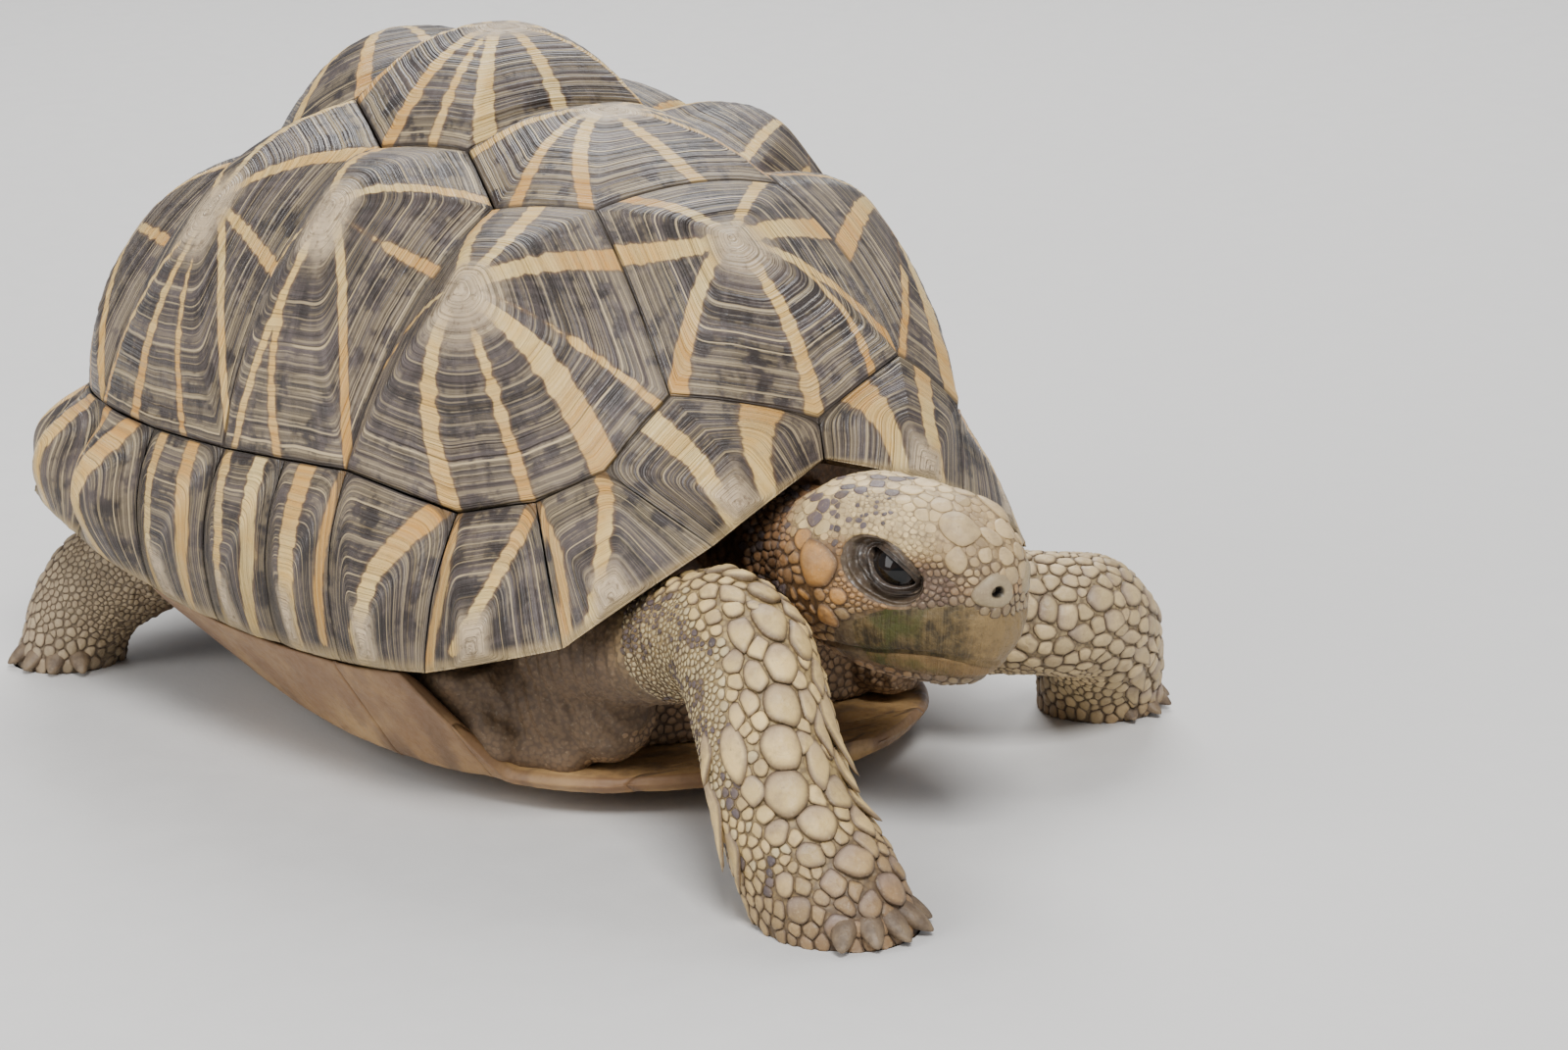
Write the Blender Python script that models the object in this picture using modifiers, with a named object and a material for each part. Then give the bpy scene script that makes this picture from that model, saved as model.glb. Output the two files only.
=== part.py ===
"""Indian star tortoise (Geochelone elegans), a still life-size model of an adult in mid-step.

Constants are millimetres in the animal's own frame: +Y points at the tail, -Y at the snout,
the animal's right side is -X, and z = 0 is a level just above the plastron.  The solids are
moved at the end, so that the floor is z = 0 and the origin is the centre of the footprint.
"""
import math

import bmesh
import bpy
from mathutils import Matrix, Vector

MM = 0.001

# ---- driving dimensions -------------------------------------------------------------------
GROUND = -21.5            # floor under the feet
PLASTRON_BOTTOM = -16.5   # belly plate, lifted off the floor while it walks
PLASTRON_THICK = 5.0
LEAN = -0.012             # sideways lean of the shell with height
SHELL_CENTRE_Z = 20.0     # the plates' edges point at this level
PLATE_THICK = 4.0
RIM_THICK = 2.4
GAP = 0.3                 # half of the seam between neighbouring plates
FLESH_CLEARANCE = 0.5     # between the plates and the trunk
POCKET_DEPTH = 8.0        # hollows before and behind the trunk that the limbs come out of
FLANK_BULGE = 8.0         # the trunk fills out sideways under the marginals
DOME_RADIUS = 85.0        # curvature of the seams over the dome
SWELL_POWER = 2.4         # how steeply a plate drops to its seams
REAR_SWELL = 8.5          # the marginals over the hind legs are lumps of their own
LEFT_PROUD = (3.0, 0.0, 3.5)   # its left costal plates stand a little further out

# Half outline of the shell, as (x, y, z); x grows to the animal's left.
COSTAL_EDGE = [           # upper edge of the marginals, from the nape to the tail
    (0.0, -109.7, 64.2), (46.7, -98.4, 57.9), (55.7, -85.2, 50.3), (63.1, -66.2, 45.4),
    (72.9, -37.8, 50.7), (78.0, -20.0, 50.5), (82.0, 0.0, 50.0), (85.0, 27.0, 50.0),
    (84.0, 54.0, 51.0), (75.0, 79.0, 50.0), (56.0, 99.0, 47.0), (31.0, 110.5, 44.0),
    (0.0, 114.5, 43.5)]
RIM = [                   # free edge of the marginals, from the nape notch to the tail
    (0.0, -111.5, 55.4), (33.0, -116.5, 43.5), (62.0, -103.0, 24.0), (77.0, -73.0, 14.4),
    (81.0, -45.0, 11.0), (83.0, -22.0, 10.0), (85.0, 2.0, 10.0), (87.0, 29.0, 12.0),
    (92.0, 56.0, 20.0), (89.0, 84.0, 25.0), (68.0, 109.0, 22.0), (34.0, 126.0, 14.0),
    (0.0, 131.0, 8.0)]
NAPE_SIDE = (30.0, -98.8, 71.5)      # first vertebral, first costal and first marginal meet
VERTEBRAL_CORNERS = [(24.0, -64.4, 105.0), (26.0, -17.0, 112.0), (26.0, 31.0, 118.0),
                     (24.0, 76.0, 101.0)]
VERTEBRAL_SIDES = [(34.0, -40.0, 103.0), (35.0, 5.0, 111.0), (34.0, 54.0, 103.0)]
VERTEBRAL_PEAKS = [(-2.5, -83.0, 98.6), (-2.5, -37.5, 120.5), (-0.5, 6.6, 134.5),
                   (-2.0, 51.5, 129.5), (-1.0, 93.0, 93.0)]
COSTAL_PEAKS = [(53.5, -56.0, 90.5), (59.5, -14.0, 103.0), (64.5, 29.5, 98.0),
                (61.0, 74.0, 86.0)]

# Half width of the plastron at stations along the belly, and where the bridge carries it
# up to the rim of the marginals.
PLASTRON_OUTLINE = [(-107.0, 14.0), (-99.0, 33.0), (-88.0, 47.0), (-74.0, 55.0), (-64.0, 60.0),
                    (-50.0, 65.0), (-30.0, 68.0), (0.0, 66.0), (32.0, 61.0), (44.0, 57.0),
                    (62.0, 54.0), (80.0, 48.0), (98.0, 32.0), (108.0, 17.0)]
BRIDGE_START = -70.0
BRIDGE_END = 40.0
PLASTRON_SEAMS = {"gular": (-107.0, -92.0), "humeral": (-92.0, -66.0),
                  "pectoral": (-66.0, -40.0), "abdominal": (-40.0, 34.0),
                  "femoral": (34.0, 72.0), "anal": (72.0, 108.0)}

HEAD_CENTRE = (0.0, -138.0, 38.0)
HEAD_YAW = math.radians(22.0)        # turned to its left
HEAD_PITCH = math.radians(-3.0)
# distance towards the snout, half width, height over and depth under the eye line
HEAD_SECTIONS = [(-25.0, 12.5, 11.0, 15.0), (-18.0, 15.5, 16.0, 19.5), (-9.0, 17.4, 18.5, 22.5),
                 (1.0, 16.4, 18.8, 23.5), (10.0, 13.8, 17.5, 23.0), (17.0, 11.8, 14.0, 21.0),
                 (22.0, 9.6, 10.5, 17.5), (24.6, 7.0, 6.0, 12.5)]
HEAD_SQUARENESS = 0.82               # 1 is a plain oval section, less is boxier
MOUTH_DROP = 12.5                    # mouth line under the head's centre
MOUTH_SLOPE = math.radians(4.0)
EYE_RADIUS = 5.6
EYE_PLACE = (3.6, 10.0, 3.0)         # towards the snout, sideways, up

NECK_SECTIONS = [((0.0, -80.0, 33.0), 19.0, 17.0), ((-1.0, -106.0, 35.0), 15.5, 15.0),
                 ((-3.5, -119.0, 35.0), 13.5, 14.0)]

# centre line, half width across, half width along the other way
FORE_RIGHT = [((-40.0, -72.0, 14.0), 16.0, 15.0), ((-37.0, -106.0, 20.5), 14.0, 14.0),
              ((-35.0, -125.0, 29.5), 15.0, 14.5), ((-39.5, -139.0, 19.0), 15.5, 14.5),
              ((-43.5, -150.0, 3.0), 15.5, 14.0), ((-43.5, -159.5, -9.5), 16.0, 15.0),
              ((-41.5, -168.0, -20.0), 16.5, 17.0), ((-40.0, -174.0, -29.0), 14.0, 14.0)]
FORE_LEFT = [((36.0, -72.0, 16.0), 16.0, 15.0), ((46.0, -97.0, 11.0), 15.0, 15.0),
             ((60.0, -110.0, 9.5), 14.5, 14.5), ((75.0, -109.0, 8.0), 15.0, 15.0),
             ((85.0, -101.0, -2.0), 15.0, 14.0), ((90.0, -94.0, -13.0), 16.0, 15.0),
             ((93.0, -90.0, -28.0), 14.5, 15.0)]
HIND_RIGHT = [((-40.0, 60.0, 14.0), 17.0, 17.0), ((-57.0, 72.0, 10.0), 16.0, 16.0),
              ((-70.0, 84.0, 1.0), 14.5, 14.5), ((-76.0, 92.0, -9.0), 13.5, 13.5),
              ((-78.0, 96.0, -28.0), 14.0, 14.5)]
HIND_LEFT = [((40.0, 62.0, 14.0), 17.0, 17.0), ((56.0, 66.0, 9.0), 16.0, 16.0),
             ((67.0, 68.0, 0.0), 14.5, 14.5), ((72.0, 68.0, -10.0), 13.5, 13.5),
             ((74.0, 67.0, -28.0), 14.0, 14.5)]
TAIL = [((0.0, 92.0, 10.0), 11.0, 10.0), ((0.0, 112.0, 4.0), 8.5, 8.0),
        ((2.0, 124.0, -3.0), 6.0, 5.5), ((5.0, 132.0, -9.0), 3.0, 3.0)]

CLAW_LENGTH = 8.5
CLAW_RADIUS = 3.0
CLAW_TIP = 0.45           # the tip's share of that radius
CLAW_DROOP = 0.28         # how far a claw dips for each step outwards
CLAW_LEVEL = 5.5          # height of the claws' roots over the floor
CLAW_ROOT = 3.0           # the roots lie this far inside the foot

# ---- materials ----------------------------------------------------------------------------
COLOURS = {
    "carapace": ((0.16, 0.12, 0.10), 0.45),
    "plastron": ((0.42, 0.27, 0.13), 0.5),
    "skin": ((0.36, 0.25, 0.14), 0.75),
    "beak": ((0.24, 0.18, 0.09), 0.5),
    "eye": ((0.015, 0.012, 0.01), 0.08),
}


def make_material(name):
    colour, roughness = COLOURS[name]
    material = bpy.data.materials.new(name)
    material.use_nodes = True
    shader = material.node_tree.nodes["Principled BSDF"]
    shader.inputs["Base Color"].default_value = (*colour, 1.0)
    shader.inputs["Roughness"].default_value = roughness
    shader.inputs["Metallic"].default_value = 0.0
    return material


# ---- helpers ------------------------------------------------------------------------------
def add_solid(name, points, faces, material, collection):
    """A closed mesh from points in millimetres, with its faces turned outwards."""
    mesh = bpy.data.meshes.new(name)
    mesh.from_pydata([Vector(p) * MM for p in points], [], faces)
    shell = bmesh.new()
    shell.from_mesh(mesh)
    bmesh.ops.remove_doubles(shell, verts=shell.verts, dist=0.00001)
    bmesh.ops.recalc_face_normals(shell, faces=shell.faces)
    shell.to_mesh(mesh)
    shell.free()
    mesh.shade_smooth()
    mesh.set_sharp_from_angle(angle=math.radians(40))
    mesh.materials.append(material)
    solid = bpy.data.objects.new(name, mesh)
    collection.objects.link(solid)
    return solid


def side_name(side):
    return "right" if side < 0 else "left"


def mirrored(point, side):
    return Vector((point[0] * side, point[1], point[2]))


def leaned(point):
    point = Vector(point)
    point.x += LEAN * (point.z - PLASTRON_BOTTOM)
    return point


def core_point(point):
    """The place inside the body that the edge of a plate points at."""
    return Vector((0.0, 0.5 * point.y, SHELL_CENTRE_Z))


def sunk(point, depth):
    inward = core_point(point) - point
    return point + inward.normalized() * depth


def seam(start, end, steps, radius):
    """Points from start up to, not including, end, on an arc that bulges outwards."""
    start = Vector(start)
    end = Vector(end)
    chord = (end - start).length
    middle = (start + end) / 2
    outward = (middle - core_point(middle)).normalized()
    sag = chord * chord / (8 * radius)
    points = []
    for i in range(steps):
        t = i / steps
        points.append(start.lerp(end, t) + outward * (4 * t * (1 - t) * sag))
    return points


def polygon_normal(loop):
    total = Vector()
    for a, b in zip(loop, loop[1:] + loop[:1]):
        total += a.cross(b)
    return total.normalized()


# ---- shell plates ---------------------------------------------------------------------------
def marginal_radius(index):
    """Curvature of the seam between two marginals: straight in front, round at the bridge."""
    if index <= 2:
        return 400.0
    if index <= 7:
        return 45.0
    return -130.0


def plate_corners():
    """Each vertebral and costal plate as its name, its corners in order and its peak."""
    plates = []
    corner = {}
    for side in (-1, 1):
        for i, point in enumerate(COSTAL_EDGE):
            corner["edge", i, side] = mirrored(point, side)
        for i, point in enumerate(VERTEBRAL_CORNERS):
            corner["corner", i, side] = mirrored(point, side)
        for i, point in enumerate(VERTEBRAL_SIDES):
            corner["side", i, side] = mirrored(point, side)
        corner["nape", 0, side] = mirrored(NAPE_SIDE, side)

    def ring(*keys):
        return [corner[key] for key in keys]

    plates.append(("vertebral_1", ring(("edge", 0, 1), ("nape", 0, 1), ("corner", 0, 1),
                                       ("corner", 0, -1), ("nape", 0, -1)),
                   Vector(VERTEBRAL_PEAKS[0])))
    for i in range(3):
        plates.append(("vertebral_%d" % (i + 2),
                       ring(("corner", i, 1), ("side", i, 1), ("corner", i + 1, 1),
                            ("corner", i + 1, -1), ("side", i, -1), ("corner", i, -1)),
                       Vector(VERTEBRAL_PEAKS[i + 1])))
    plates.append(("vertebral_5", ring(("corner", 3, 1), ("edge", 11, 1), ("edge", 12, 1),
                                       ("edge", 11, -1), ("corner", 3, -1)),
                   Vector(VERTEBRAL_PEAKS[4])))
    costal_rings = [
        (("nape", 0), ("edge", 1), ("edge", 2), ("edge", 3), ("edge", 4), ("side", 0), ("corner", 0)),
        (("side", 0), ("edge", 4), ("edge", 5), ("edge", 6), ("side", 1), ("corner", 1)),
        (("side", 1), ("edge", 6), ("edge", 7), ("edge", 8), ("side", 2), ("corner", 2)),
        (("side", 2), ("edge", 8), ("edge", 9), ("edge", 10), ("edge", 11), ("corner", 3))]
    for side in (-1, 1):
        proud = Vector(LEFT_PROUD) if side > 0 else Vector()
        for i, keys in enumerate(costal_rings):
            plates.append(("costal_%s_%d" % (side_name(side), i + 1),
                           ring(*[(kind, n, side) for kind, n in keys]),
                           mirrored(COSTAL_PEAKS[i], side) + proud))
    return plates


def marginal_edges():
    """Each marginal as its name, its upper edge, its rim and its number, from front to rear."""
    marginals = []
    for side in (-1, 1):
        top = [mirrored(p, side) for p in COSTAL_EDGE]
        low = [mirrored(p, side) for p in RIM]
        nape = mirrored(NAPE_SIDE, side)
        side_rim = low[0].lerp(low[1], 0.55) + Vector((0.0, -1.5, 1.0))
        marginals.append(("marginal_%s_1" % side_name(side), [top[0], nape, top[1]],
                          [low[0], side_rim, low[1]], 0, 1))
        for i in range(1, 11):
            marginals.append(("marginal_%s_%d" % (side_name(side), i + 1),
                              [top[i], top[i + 1]], [low[i], low[i + 1]], i, i + 1))
    last = [mirrored(COSTAL_EDGE[11], -1), Vector(COSTAL_EDGE[12]), Vector(COSTAL_EDGE[11])]
    tip = [mirrored(RIM[11], -1), Vector(RIM[12]), Vector(RIM[11])]
    marginals.append(("supracaudal", last, tip, 11, 11))
    return marginals


def path(corners, radius=DOME_RADIUS, steps=3):
    """An open chain of seams through the corners, with its last point."""
    points = []
    for start, end in zip(corners, corners[1:]):
        points.extend(seam(start, end, steps, radius))
    return points + [Vector(corners[-1])]


def plate_loop(corners):
    return path(corners + corners[:1])[:-1]


def plate_solid(name, corners, peak, material, collection):
    """A horny plate: a swollen fan from its peak to its seams, with a thin flat underside."""
    loop = plate_loop(corners)
    middle = sum(loop, Vector()) / len(loop)
    normal = polygon_normal(loop)
    if normal.dot(middle - core_point(middle)) < 0:
        loop.reverse()
        normal.negate()
    loop = [p + (middle - p).normalized() * GAP for p in loop]
    count = len(loop)
    rings = (0.22, 0.52, 0.8)
    points = [peak + normal * 0.5]
    for ratio in rings + (1.0,):
        for p in loop:
            height = (peak - p).dot(normal)
            swell = height * (ratio - ratio ** SWELL_POWER)
            points.append(peak.lerp(p, ratio) + normal * swell)
    under = [sunk(p, PLATE_THICK) for p in loop]
    points.extend(under)
    points.append(sum(under, Vector()) / count)
    faces = []
    for i in range(count):
        j = (i + 1) % count
        faces.append((0, 1 + i, 1 + j))
        for r in range(len(rings) + 1):
            a = 1 + r * count
            b = a + count
            faces.append((a + i, b + i, b + j, a + j))
        last = 1 + (len(rings) + 1) * count
        faces.append((last + i, last + count, last + j))
    return add_solid(name, [leaned(p) for p in points], faces, material, collection)


def coons(top, low, front, rear, u, v):
    """A point of the patch between four edges; front and rear run from top to low."""
    across = len(top) - 1
    down = len(front) - 1
    s = u / across
    t = v / down
    ruled = top[u].lerp(low[u], t) + front[v].lerp(rear[v], s)
    corner = top[0].lerp(top[-1], s).lerp(low[0].lerp(low[-1], s), t)
    return ruled - corner


def marginal_solid(name, top_corners, low_corners, first, last, material, collection):
    """A plate of the rim, a patch between its four seams that thins out to a blunt edge."""
    top = path(top_corners)
    low = path(low_corners)
    front = path([top[0], low[0]], marginal_radius(first))
    rear = path([top[-1], low[-1]], marginal_radius(last))
    middle = (top[0] + top[-1] + low[0] + low[-1]) / 4
    for edge in (top, low, front, rear):
        edge[:] = [p + (middle - p).normalized() * GAP for p in edge]
    outward = (middle - core_point(middle)).normalized()
    swell = REAR_SWELL if first in (7, 8, 9) else 1.5
    across = len(top) - 1
    down = len(front) - 1
    outer = []
    inner = []
    for u in range(across + 1):
        for v in range(down + 1):
            p = coons(top, low, front, rear, u, v)
            thick = PLATE_THICK + (RIM_THICK - PLATE_THICK) * v / down
            inner.append(sunk(p, thick))
            bulge = math.sin(math.pi * u / across) * math.sin(math.pi * v / down)
            outer.append(p + outward * (swell * bulge))
    step = down + 1
    half = len(outer)
    faces = []
    for u in range(across):
        for v in range(down):
            a = u * step + v
            faces.append((a, a + 1, a + step + 1, a + step))
            faces.append((half + a, half + a + step, half + a + step + 1, half + a + 1))
    border = [u * step for u in range(across + 1)]
    border += [across * step + v for v in range(1, down + 1)]
    border += [u * step + down for u in range(across - 1, -1, -1)]
    border += [v for v in range(down - 1, 0, -1)]
    for a, b in zip(border, border[1:] + border[:1]):
        faces.append((a, b, half + b, half + a))
    return add_solid(name, [leaned(p) for p in outer + inner], faces, material, collection)


# ---- trunk ----------------------------------------------------------------------------------
def plastron_half_width(y):
    outline = PLASTRON_OUTLINE
    if y <= outline[0][0]:
        return outline[0][1]
    for (y0, w0), (y1, w1) in zip(outline, outline[1:]):
        if y <= y1:
            return w0 + (w1 - w0) * (y - y0) / (y1 - y0)
    return outline[-1][1]


def trunk_solid(name, extra, material, collection):
    """The body inside the shell: its roof follows the plates, its ends are open pockets."""
    depth = PLATE_THICK + FLESH_CLEARANCE - extra
    points = []
    faces = []
    for _, corners, _ in plate_corners():
        loop = [sunk(p, depth) for p in plate_loop(corners)]
        first = len(points)
        points.extend(loop)
        points.append(sum(loop, Vector()) / len(loop))
        for i in range(len(loop)):
            faces.append((first + i, first + (i + 1) % len(loop), first + len(loop)))
    keys = [mirrored(p, 1) for p in COSTAL_EDGE]
    keys.insert(1, mirrored(NAPE_SIDE, 1))
    edge_loop = plate_loop(keys + [mirrored(p, -1) for p in reversed(keys)][1:-1])
    floor_z = PLASTRON_BOTTOM + PLASTRON_THICK + FLESH_CLEARANCE - extra
    count = len(edge_loop)
    loops = [[sunk(p, depth) for p in edge_loop]]
    for f in (0.3, 0.65, 1.0):
        ring = []
        for p in loops[0]:
            end_y = 0.83 * p.y
            end_x = min(0.76 * abs(p.x), plastron_half_width(end_y) - 8.0 + extra)
            target = Vector((math.copysign(end_x, p.x), end_y, floor_z))
            q = p.lerp(target, f)
            bulge = math.sin(math.pi * f)
            q.y -= math.copysign(POCKET_DEPTH * bulge * min(1.0, abs(p.y) / 100.0) ** 2, p.y)
            q.x += math.copysign(FLANK_BULGE * bulge * min(1.0, abs(p.x) / 60.0) ** 2, p.x)
            ring.append(q)
        loops.append(ring)
    base = len(points)
    for ring in loops:
        points.extend(ring)
    for r in range(len(loops) - 1):
        for i in range(count):
            j = (i + 1) % count
            a = base + r * count
            faces.append((a + i, a + j, a + count + j, a + count + i))
    points.append(sum(loops[-1], Vector()) / count)
    last = base + (len(loops) - 1) * count
    for i in range(count):
        faces.append((last + i, last + (i + 1) % count, len(points) - 1))
    points = [leaned(p) for p in points]
    return add_solid(name, points, faces, material, collection)


# ---- plastron -------------------------------------------------------------------------------
def rim_at(y):
    """Half width and level of the shell's rim at a station along the body."""
    for a, b in zip(RIM[1:], RIM[2:]):
        if a[1] <= y <= b[1]:
            t = (y - a[1]) / (b[1] - a[1])
            return a[0] + (b[0] - a[0]) * t, a[2] + (b[2] - a[2]) * t
    return RIM[-1][0], RIM[-1][2]


def plastron_section(y):
    """Right half of the cross-section, from the middle of the belly round to its inside."""
    width = plastron_half_width(y)
    low = PLASTRON_BOTTOM
    lift = max(0.0, -(y + 90.0)) * 0.1
    top = low + PLASTRON_THICK
    tip = Vector((width, 0.0, low + 2.6))
    inner = Vector((width - 1.0, 0.0, top - 0.4))
    inside_keel = Vector((width - 5.0, 0.0, top))
    rise = min(1.0, (y - BRIDGE_START) / 8.0, (BRIDGE_END - y) / 8.0)
    if rise > 0:
        rim_x, rim_z = rim_at(y)
        tip = tip.lerp(Vector((rim_x - 1.0, 0.0, rim_z - 0.9)), rise)
        inner = inner.lerp(Vector((rim_x - 5.0, 0.0, rim_z - 0.9)), rise)
    half = [Vector((0.0, 0.0, low)), Vector((0.62 * width, 0.0, low)),
            Vector((width - 2.0, 0.0, low + 0.8)), tip, inner, inside_keel,
            Vector((0.0, 0.0, top))]
    return [Vector((p.x, y, p.z + lift)) for p in half]


def plastron_solid(name, start, end, material, collection):
    """One pair of belly plates, lofted along the body between two cross seams."""
    stations = [start + GAP]
    stations += [y for y, _ in PLASTRON_OUTLINE if start + 2.0 < y < end - 2.0]
    stations += [y for y in (BRIDGE_START, BRIDGE_START + 8.0, BRIDGE_END - 8.0, BRIDGE_END)
                 if start + 2.0 < y < end - 2.0]
    stations += [end - GAP]
    points = []
    for y in sorted(set(stations)):
        half = plastron_section(y)
        points.extend(leaned(mirrored(p, -1)) for p in half)
        points.extend(leaned(p) for p in reversed(half[1:-1]))
    count = 12
    rows = len(points) // count
    faces = [tuple(range(count)), tuple(range(len(points) - count, len(points)))]
    for r in range(rows - 1):
        for i in range(count):
            j = (i + 1) % count
            a = r * count
            faces.append((a + i, a + j, a + count + j, a + count + i))
    return add_solid(name, points, faces, material, collection)


# ---- flesh ----------------------------------------------------------------------------------
def tube(name, sections, side_axis, material, collection, around=8):
    """A limb as a loft of ovals along its centre line, closed by pointed ends."""
    centres = [Vector(c) for c, _, _ in sections]
    points = []
    for i, (centre, across, along) in enumerate(sections):
        before = centres[max(i - 1, 0)]
        after = centres[min(i + 1, len(centres) - 1)]
        forward = (after - before).normalized()
        side = (side_axis - forward * side_axis.dot(forward)).normalized()
        up = side.cross(forward)
        for k in range(around):
            angle = 2 * math.pi * k / around
            points.append(centres[i] + side * (across * math.cos(angle))
                          + up * (along * math.sin(angle)))
    faces = [tuple(range(around)), tuple(range(len(points) - around, len(points)))]
    for r in range(len(sections) - 1):
        for k in range(around):
            m = (k + 1) % around
            a = r * around
            faces.append((a + k, a + m, a + around + m, a + around + k))
    solid = add_solid(name, points, faces, material, collection)
    smooth = solid.modifiers.new("smooth", "SUBSURF")
    smooth.levels = 1
    smooth.render_levels = 1
    return solid


def boolean(solid, cutter, operation):
    change = solid.modifiers.new(operation.lower(), "BOOLEAN")
    change.operation = operation
    change.solver = "EXACT"
    change.object = cutter


def hide_cutter(cutter):
    cutter.hide_render = True
    cutter.display_type = "WIRE"


def block(name, centre, size, collection):
    bpy.ops.mesh.primitive_cube_add(size=1.0, location=Vector(centre) * MM)
    cutter = bpy.context.object
    cutter.name = name
    cutter.scale = Vector(size) * MM
    for owner in cutter.users_collection:
        owner.objects.unlink(cutter)
    collection.objects.link(cutter)
    hide_cutter(cutter)
    return cutter


def claw(name, base, direction, collection):
    """A blunt horny cone from base along direction, which stops at the floor."""
    direction = Vector(direction).normalized()
    mesh = bpy.data.meshes.new(name)
    shape = bmesh.new()
    bmesh.ops.create_cone(shape, cap_ends=True, segments=6, radius1=CLAW_RADIUS * MM,
                          radius2=CLAW_RADIUS * CLAW_TIP * MM, depth=CLAW_LENGTH * MM)
    turn = direction.to_track_quat("Z", "Y").to_matrix().to_4x4()
    place = Matrix.Translation((Vector(base) + direction * CLAW_LENGTH / 2) * MM)
    bmesh.ops.transform(shape, matrix=place @ turn, verts=shape.verts)
    shape.to_mesh(mesh)
    shape.free()
    cone = bpy.data.objects.new(name, mesh)
    collection.objects.link(cone)
    hide_cutter(cone)
    return cone


def leg(name, sections, side_axis, claws, heading, spread, material, collection, cutters, inner):
    """A leg with a flat sole on the floor and its claws, cut clear of the trunk."""
    solid = tube(name, sections, side_axis, material, collection)
    boolean(solid, inner, "DIFFERENCE")
    foot = Vector(sections[-2][0]).lerp(Vector(sections[-1][0]), 0.4)
    reach = sections[-1][1] - CLAW_ROOT
    for i in range(claws):
        angle = heading + spread * (i / (claws - 1) - 0.5)
        out = Vector((math.sin(angle), -math.cos(angle), 0.0))
        base = Vector((foot.x, foot.y, GROUND + CLAW_LEVEL)) + out * reach
        cone = claw("%s_claw_%d" % (name, i), base, out + Vector((0, 0, -CLAW_DROOP)), cutters)
        boolean(solid, cone, "UNION")
    below = block(name + "_floor", (foot.x, foot.y, GROUND - 20.0), (90.0, 90.0, 40.0), cutters)
    boolean(solid, below, "DIFFERENCE")
    return solid


# ---- head -----------------------------------------------------------------------------------
def head_frame():
    turn = Matrix.Rotation(HEAD_YAW, 3, "Z") @ Matrix.Rotation(-HEAD_PITCH, 3, "X")
    forward = turn @ Vector((0, -1, 0))
    left = turn @ Vector((1, 0, 0))
    up = turn @ Vector((0, 0, 1))
    return forward, left, up


def head_point(ahead, sideways, height):
    forward, left, up = head_frame()
    return Vector(HEAD_CENTRE) + forward * ahead + left * sideways + up * height


def head_shape(name, material, collection, grow=0.0, around=12):
    """The head as a loft along its axis, from the nape to the blunt snout."""
    points = []
    for ahead, width, over, under in HEAD_SECTIONS:
        ahead += math.copysign(grow, ahead)
        width += grow
        over += grow
        under += grow
        for k in range(around):
            angle = 2 * math.pi * k / around
            x = math.cos(angle)
            z = math.sin(angle)
            x = math.copysign(abs(x) ** HEAD_SQUARENESS, x) * width
            z = math.copysign(abs(z) ** HEAD_SQUARENESS, z) * (over if z > 0 else under)
            points.append(head_point(ahead, x, z))
    faces = [tuple(range(around)), tuple(range(len(points) - around, len(points)))]
    for r in range(len(HEAD_SECTIONS) - 1):
        for k in range(around):
            m = (k + 1) % around
            a = r * around
            faces.append((a + k, a + m, a + around + m, a + around + k))
    solid = add_solid(name, points, faces, material, collection)
    smooth = solid.modifiers.new("smooth", "SUBSURF")
    smooth.levels = 1
    smooth.render_levels = 1
    return solid


def mouth_block(name, above, collection):
    """A block that fills the space above or below the mouth line, and just crosses it."""
    forward, left, up = head_frame()
    turn = Matrix((left, -forward, up)).transposed().to_4x4()
    tilt = Matrix.Rotation(-MOUTH_SLOPE, 4, "X")
    offset = 40.0 - GAP / 2
    height = offset if above else -offset
    cutter = block(name, (0, 0, 0), (120.0, 120.0, 80.0), collection)
    centre = Matrix.Translation(head_point(0, 0, -MOUTH_DROP) * MM)
    lift = Matrix.Translation(Vector((0, 0, height * MM)))
    cutter.matrix_world = centre @ turn @ tilt @ lift @ Matrix.Diagonal((*cutter.scale, 1.0))
    return cutter


def eyeball(name, side, radius, material, collection):
    ahead, sideways, height = EYE_PLACE
    bpy.ops.mesh.primitive_uv_sphere_add(segments=12, ring_count=8, radius=radius * MM,
                                         location=head_point(ahead, side * sideways, height) * MM)
    ball = bpy.context.object
    ball.name = name
    ball.data.shade_smooth()
    ball.data.materials.append(material)
    for owner in ball.users_collection:
        owner.objects.unlink(ball)
    collection.objects.link(ball)
    return ball


# ---- assembly -------------------------------------------------------------------------------
def clear_scene():
    for old in list(bpy.data.objects):
        bpy.data.objects.remove(old, do_unlink=True)


def stand_on_floor(collections):
    """Moves everything so that the footprint is centred on the origin and the floor is z = 0."""
    bpy.context.view_layer.update()
    depsgraph = bpy.context.evaluated_depsgraph_get()
    corners = []
    for solid in collections[0].objects:
        ready = solid.evaluated_get(depsgraph)
        corners += [ready.matrix_world @ vertex.co for vertex in ready.data.vertices]
    low = [min(c[axis] for c in corners) for axis in range(3)]
    high = [max(c[axis] for c in corners) for axis in range(3)]
    body = bpy.data.objects.new("body_origin", None)
    bpy.context.scene.collection.objects.link(body)
    for collection in collections:
        for solid in collection.objects:
            solid.parent = body
    body.location = (-(low[0] + high[0]) / 2, -(low[1] + high[1]) / 2, -GROUND * MM)
    bpy.context.view_layer.update()


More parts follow.
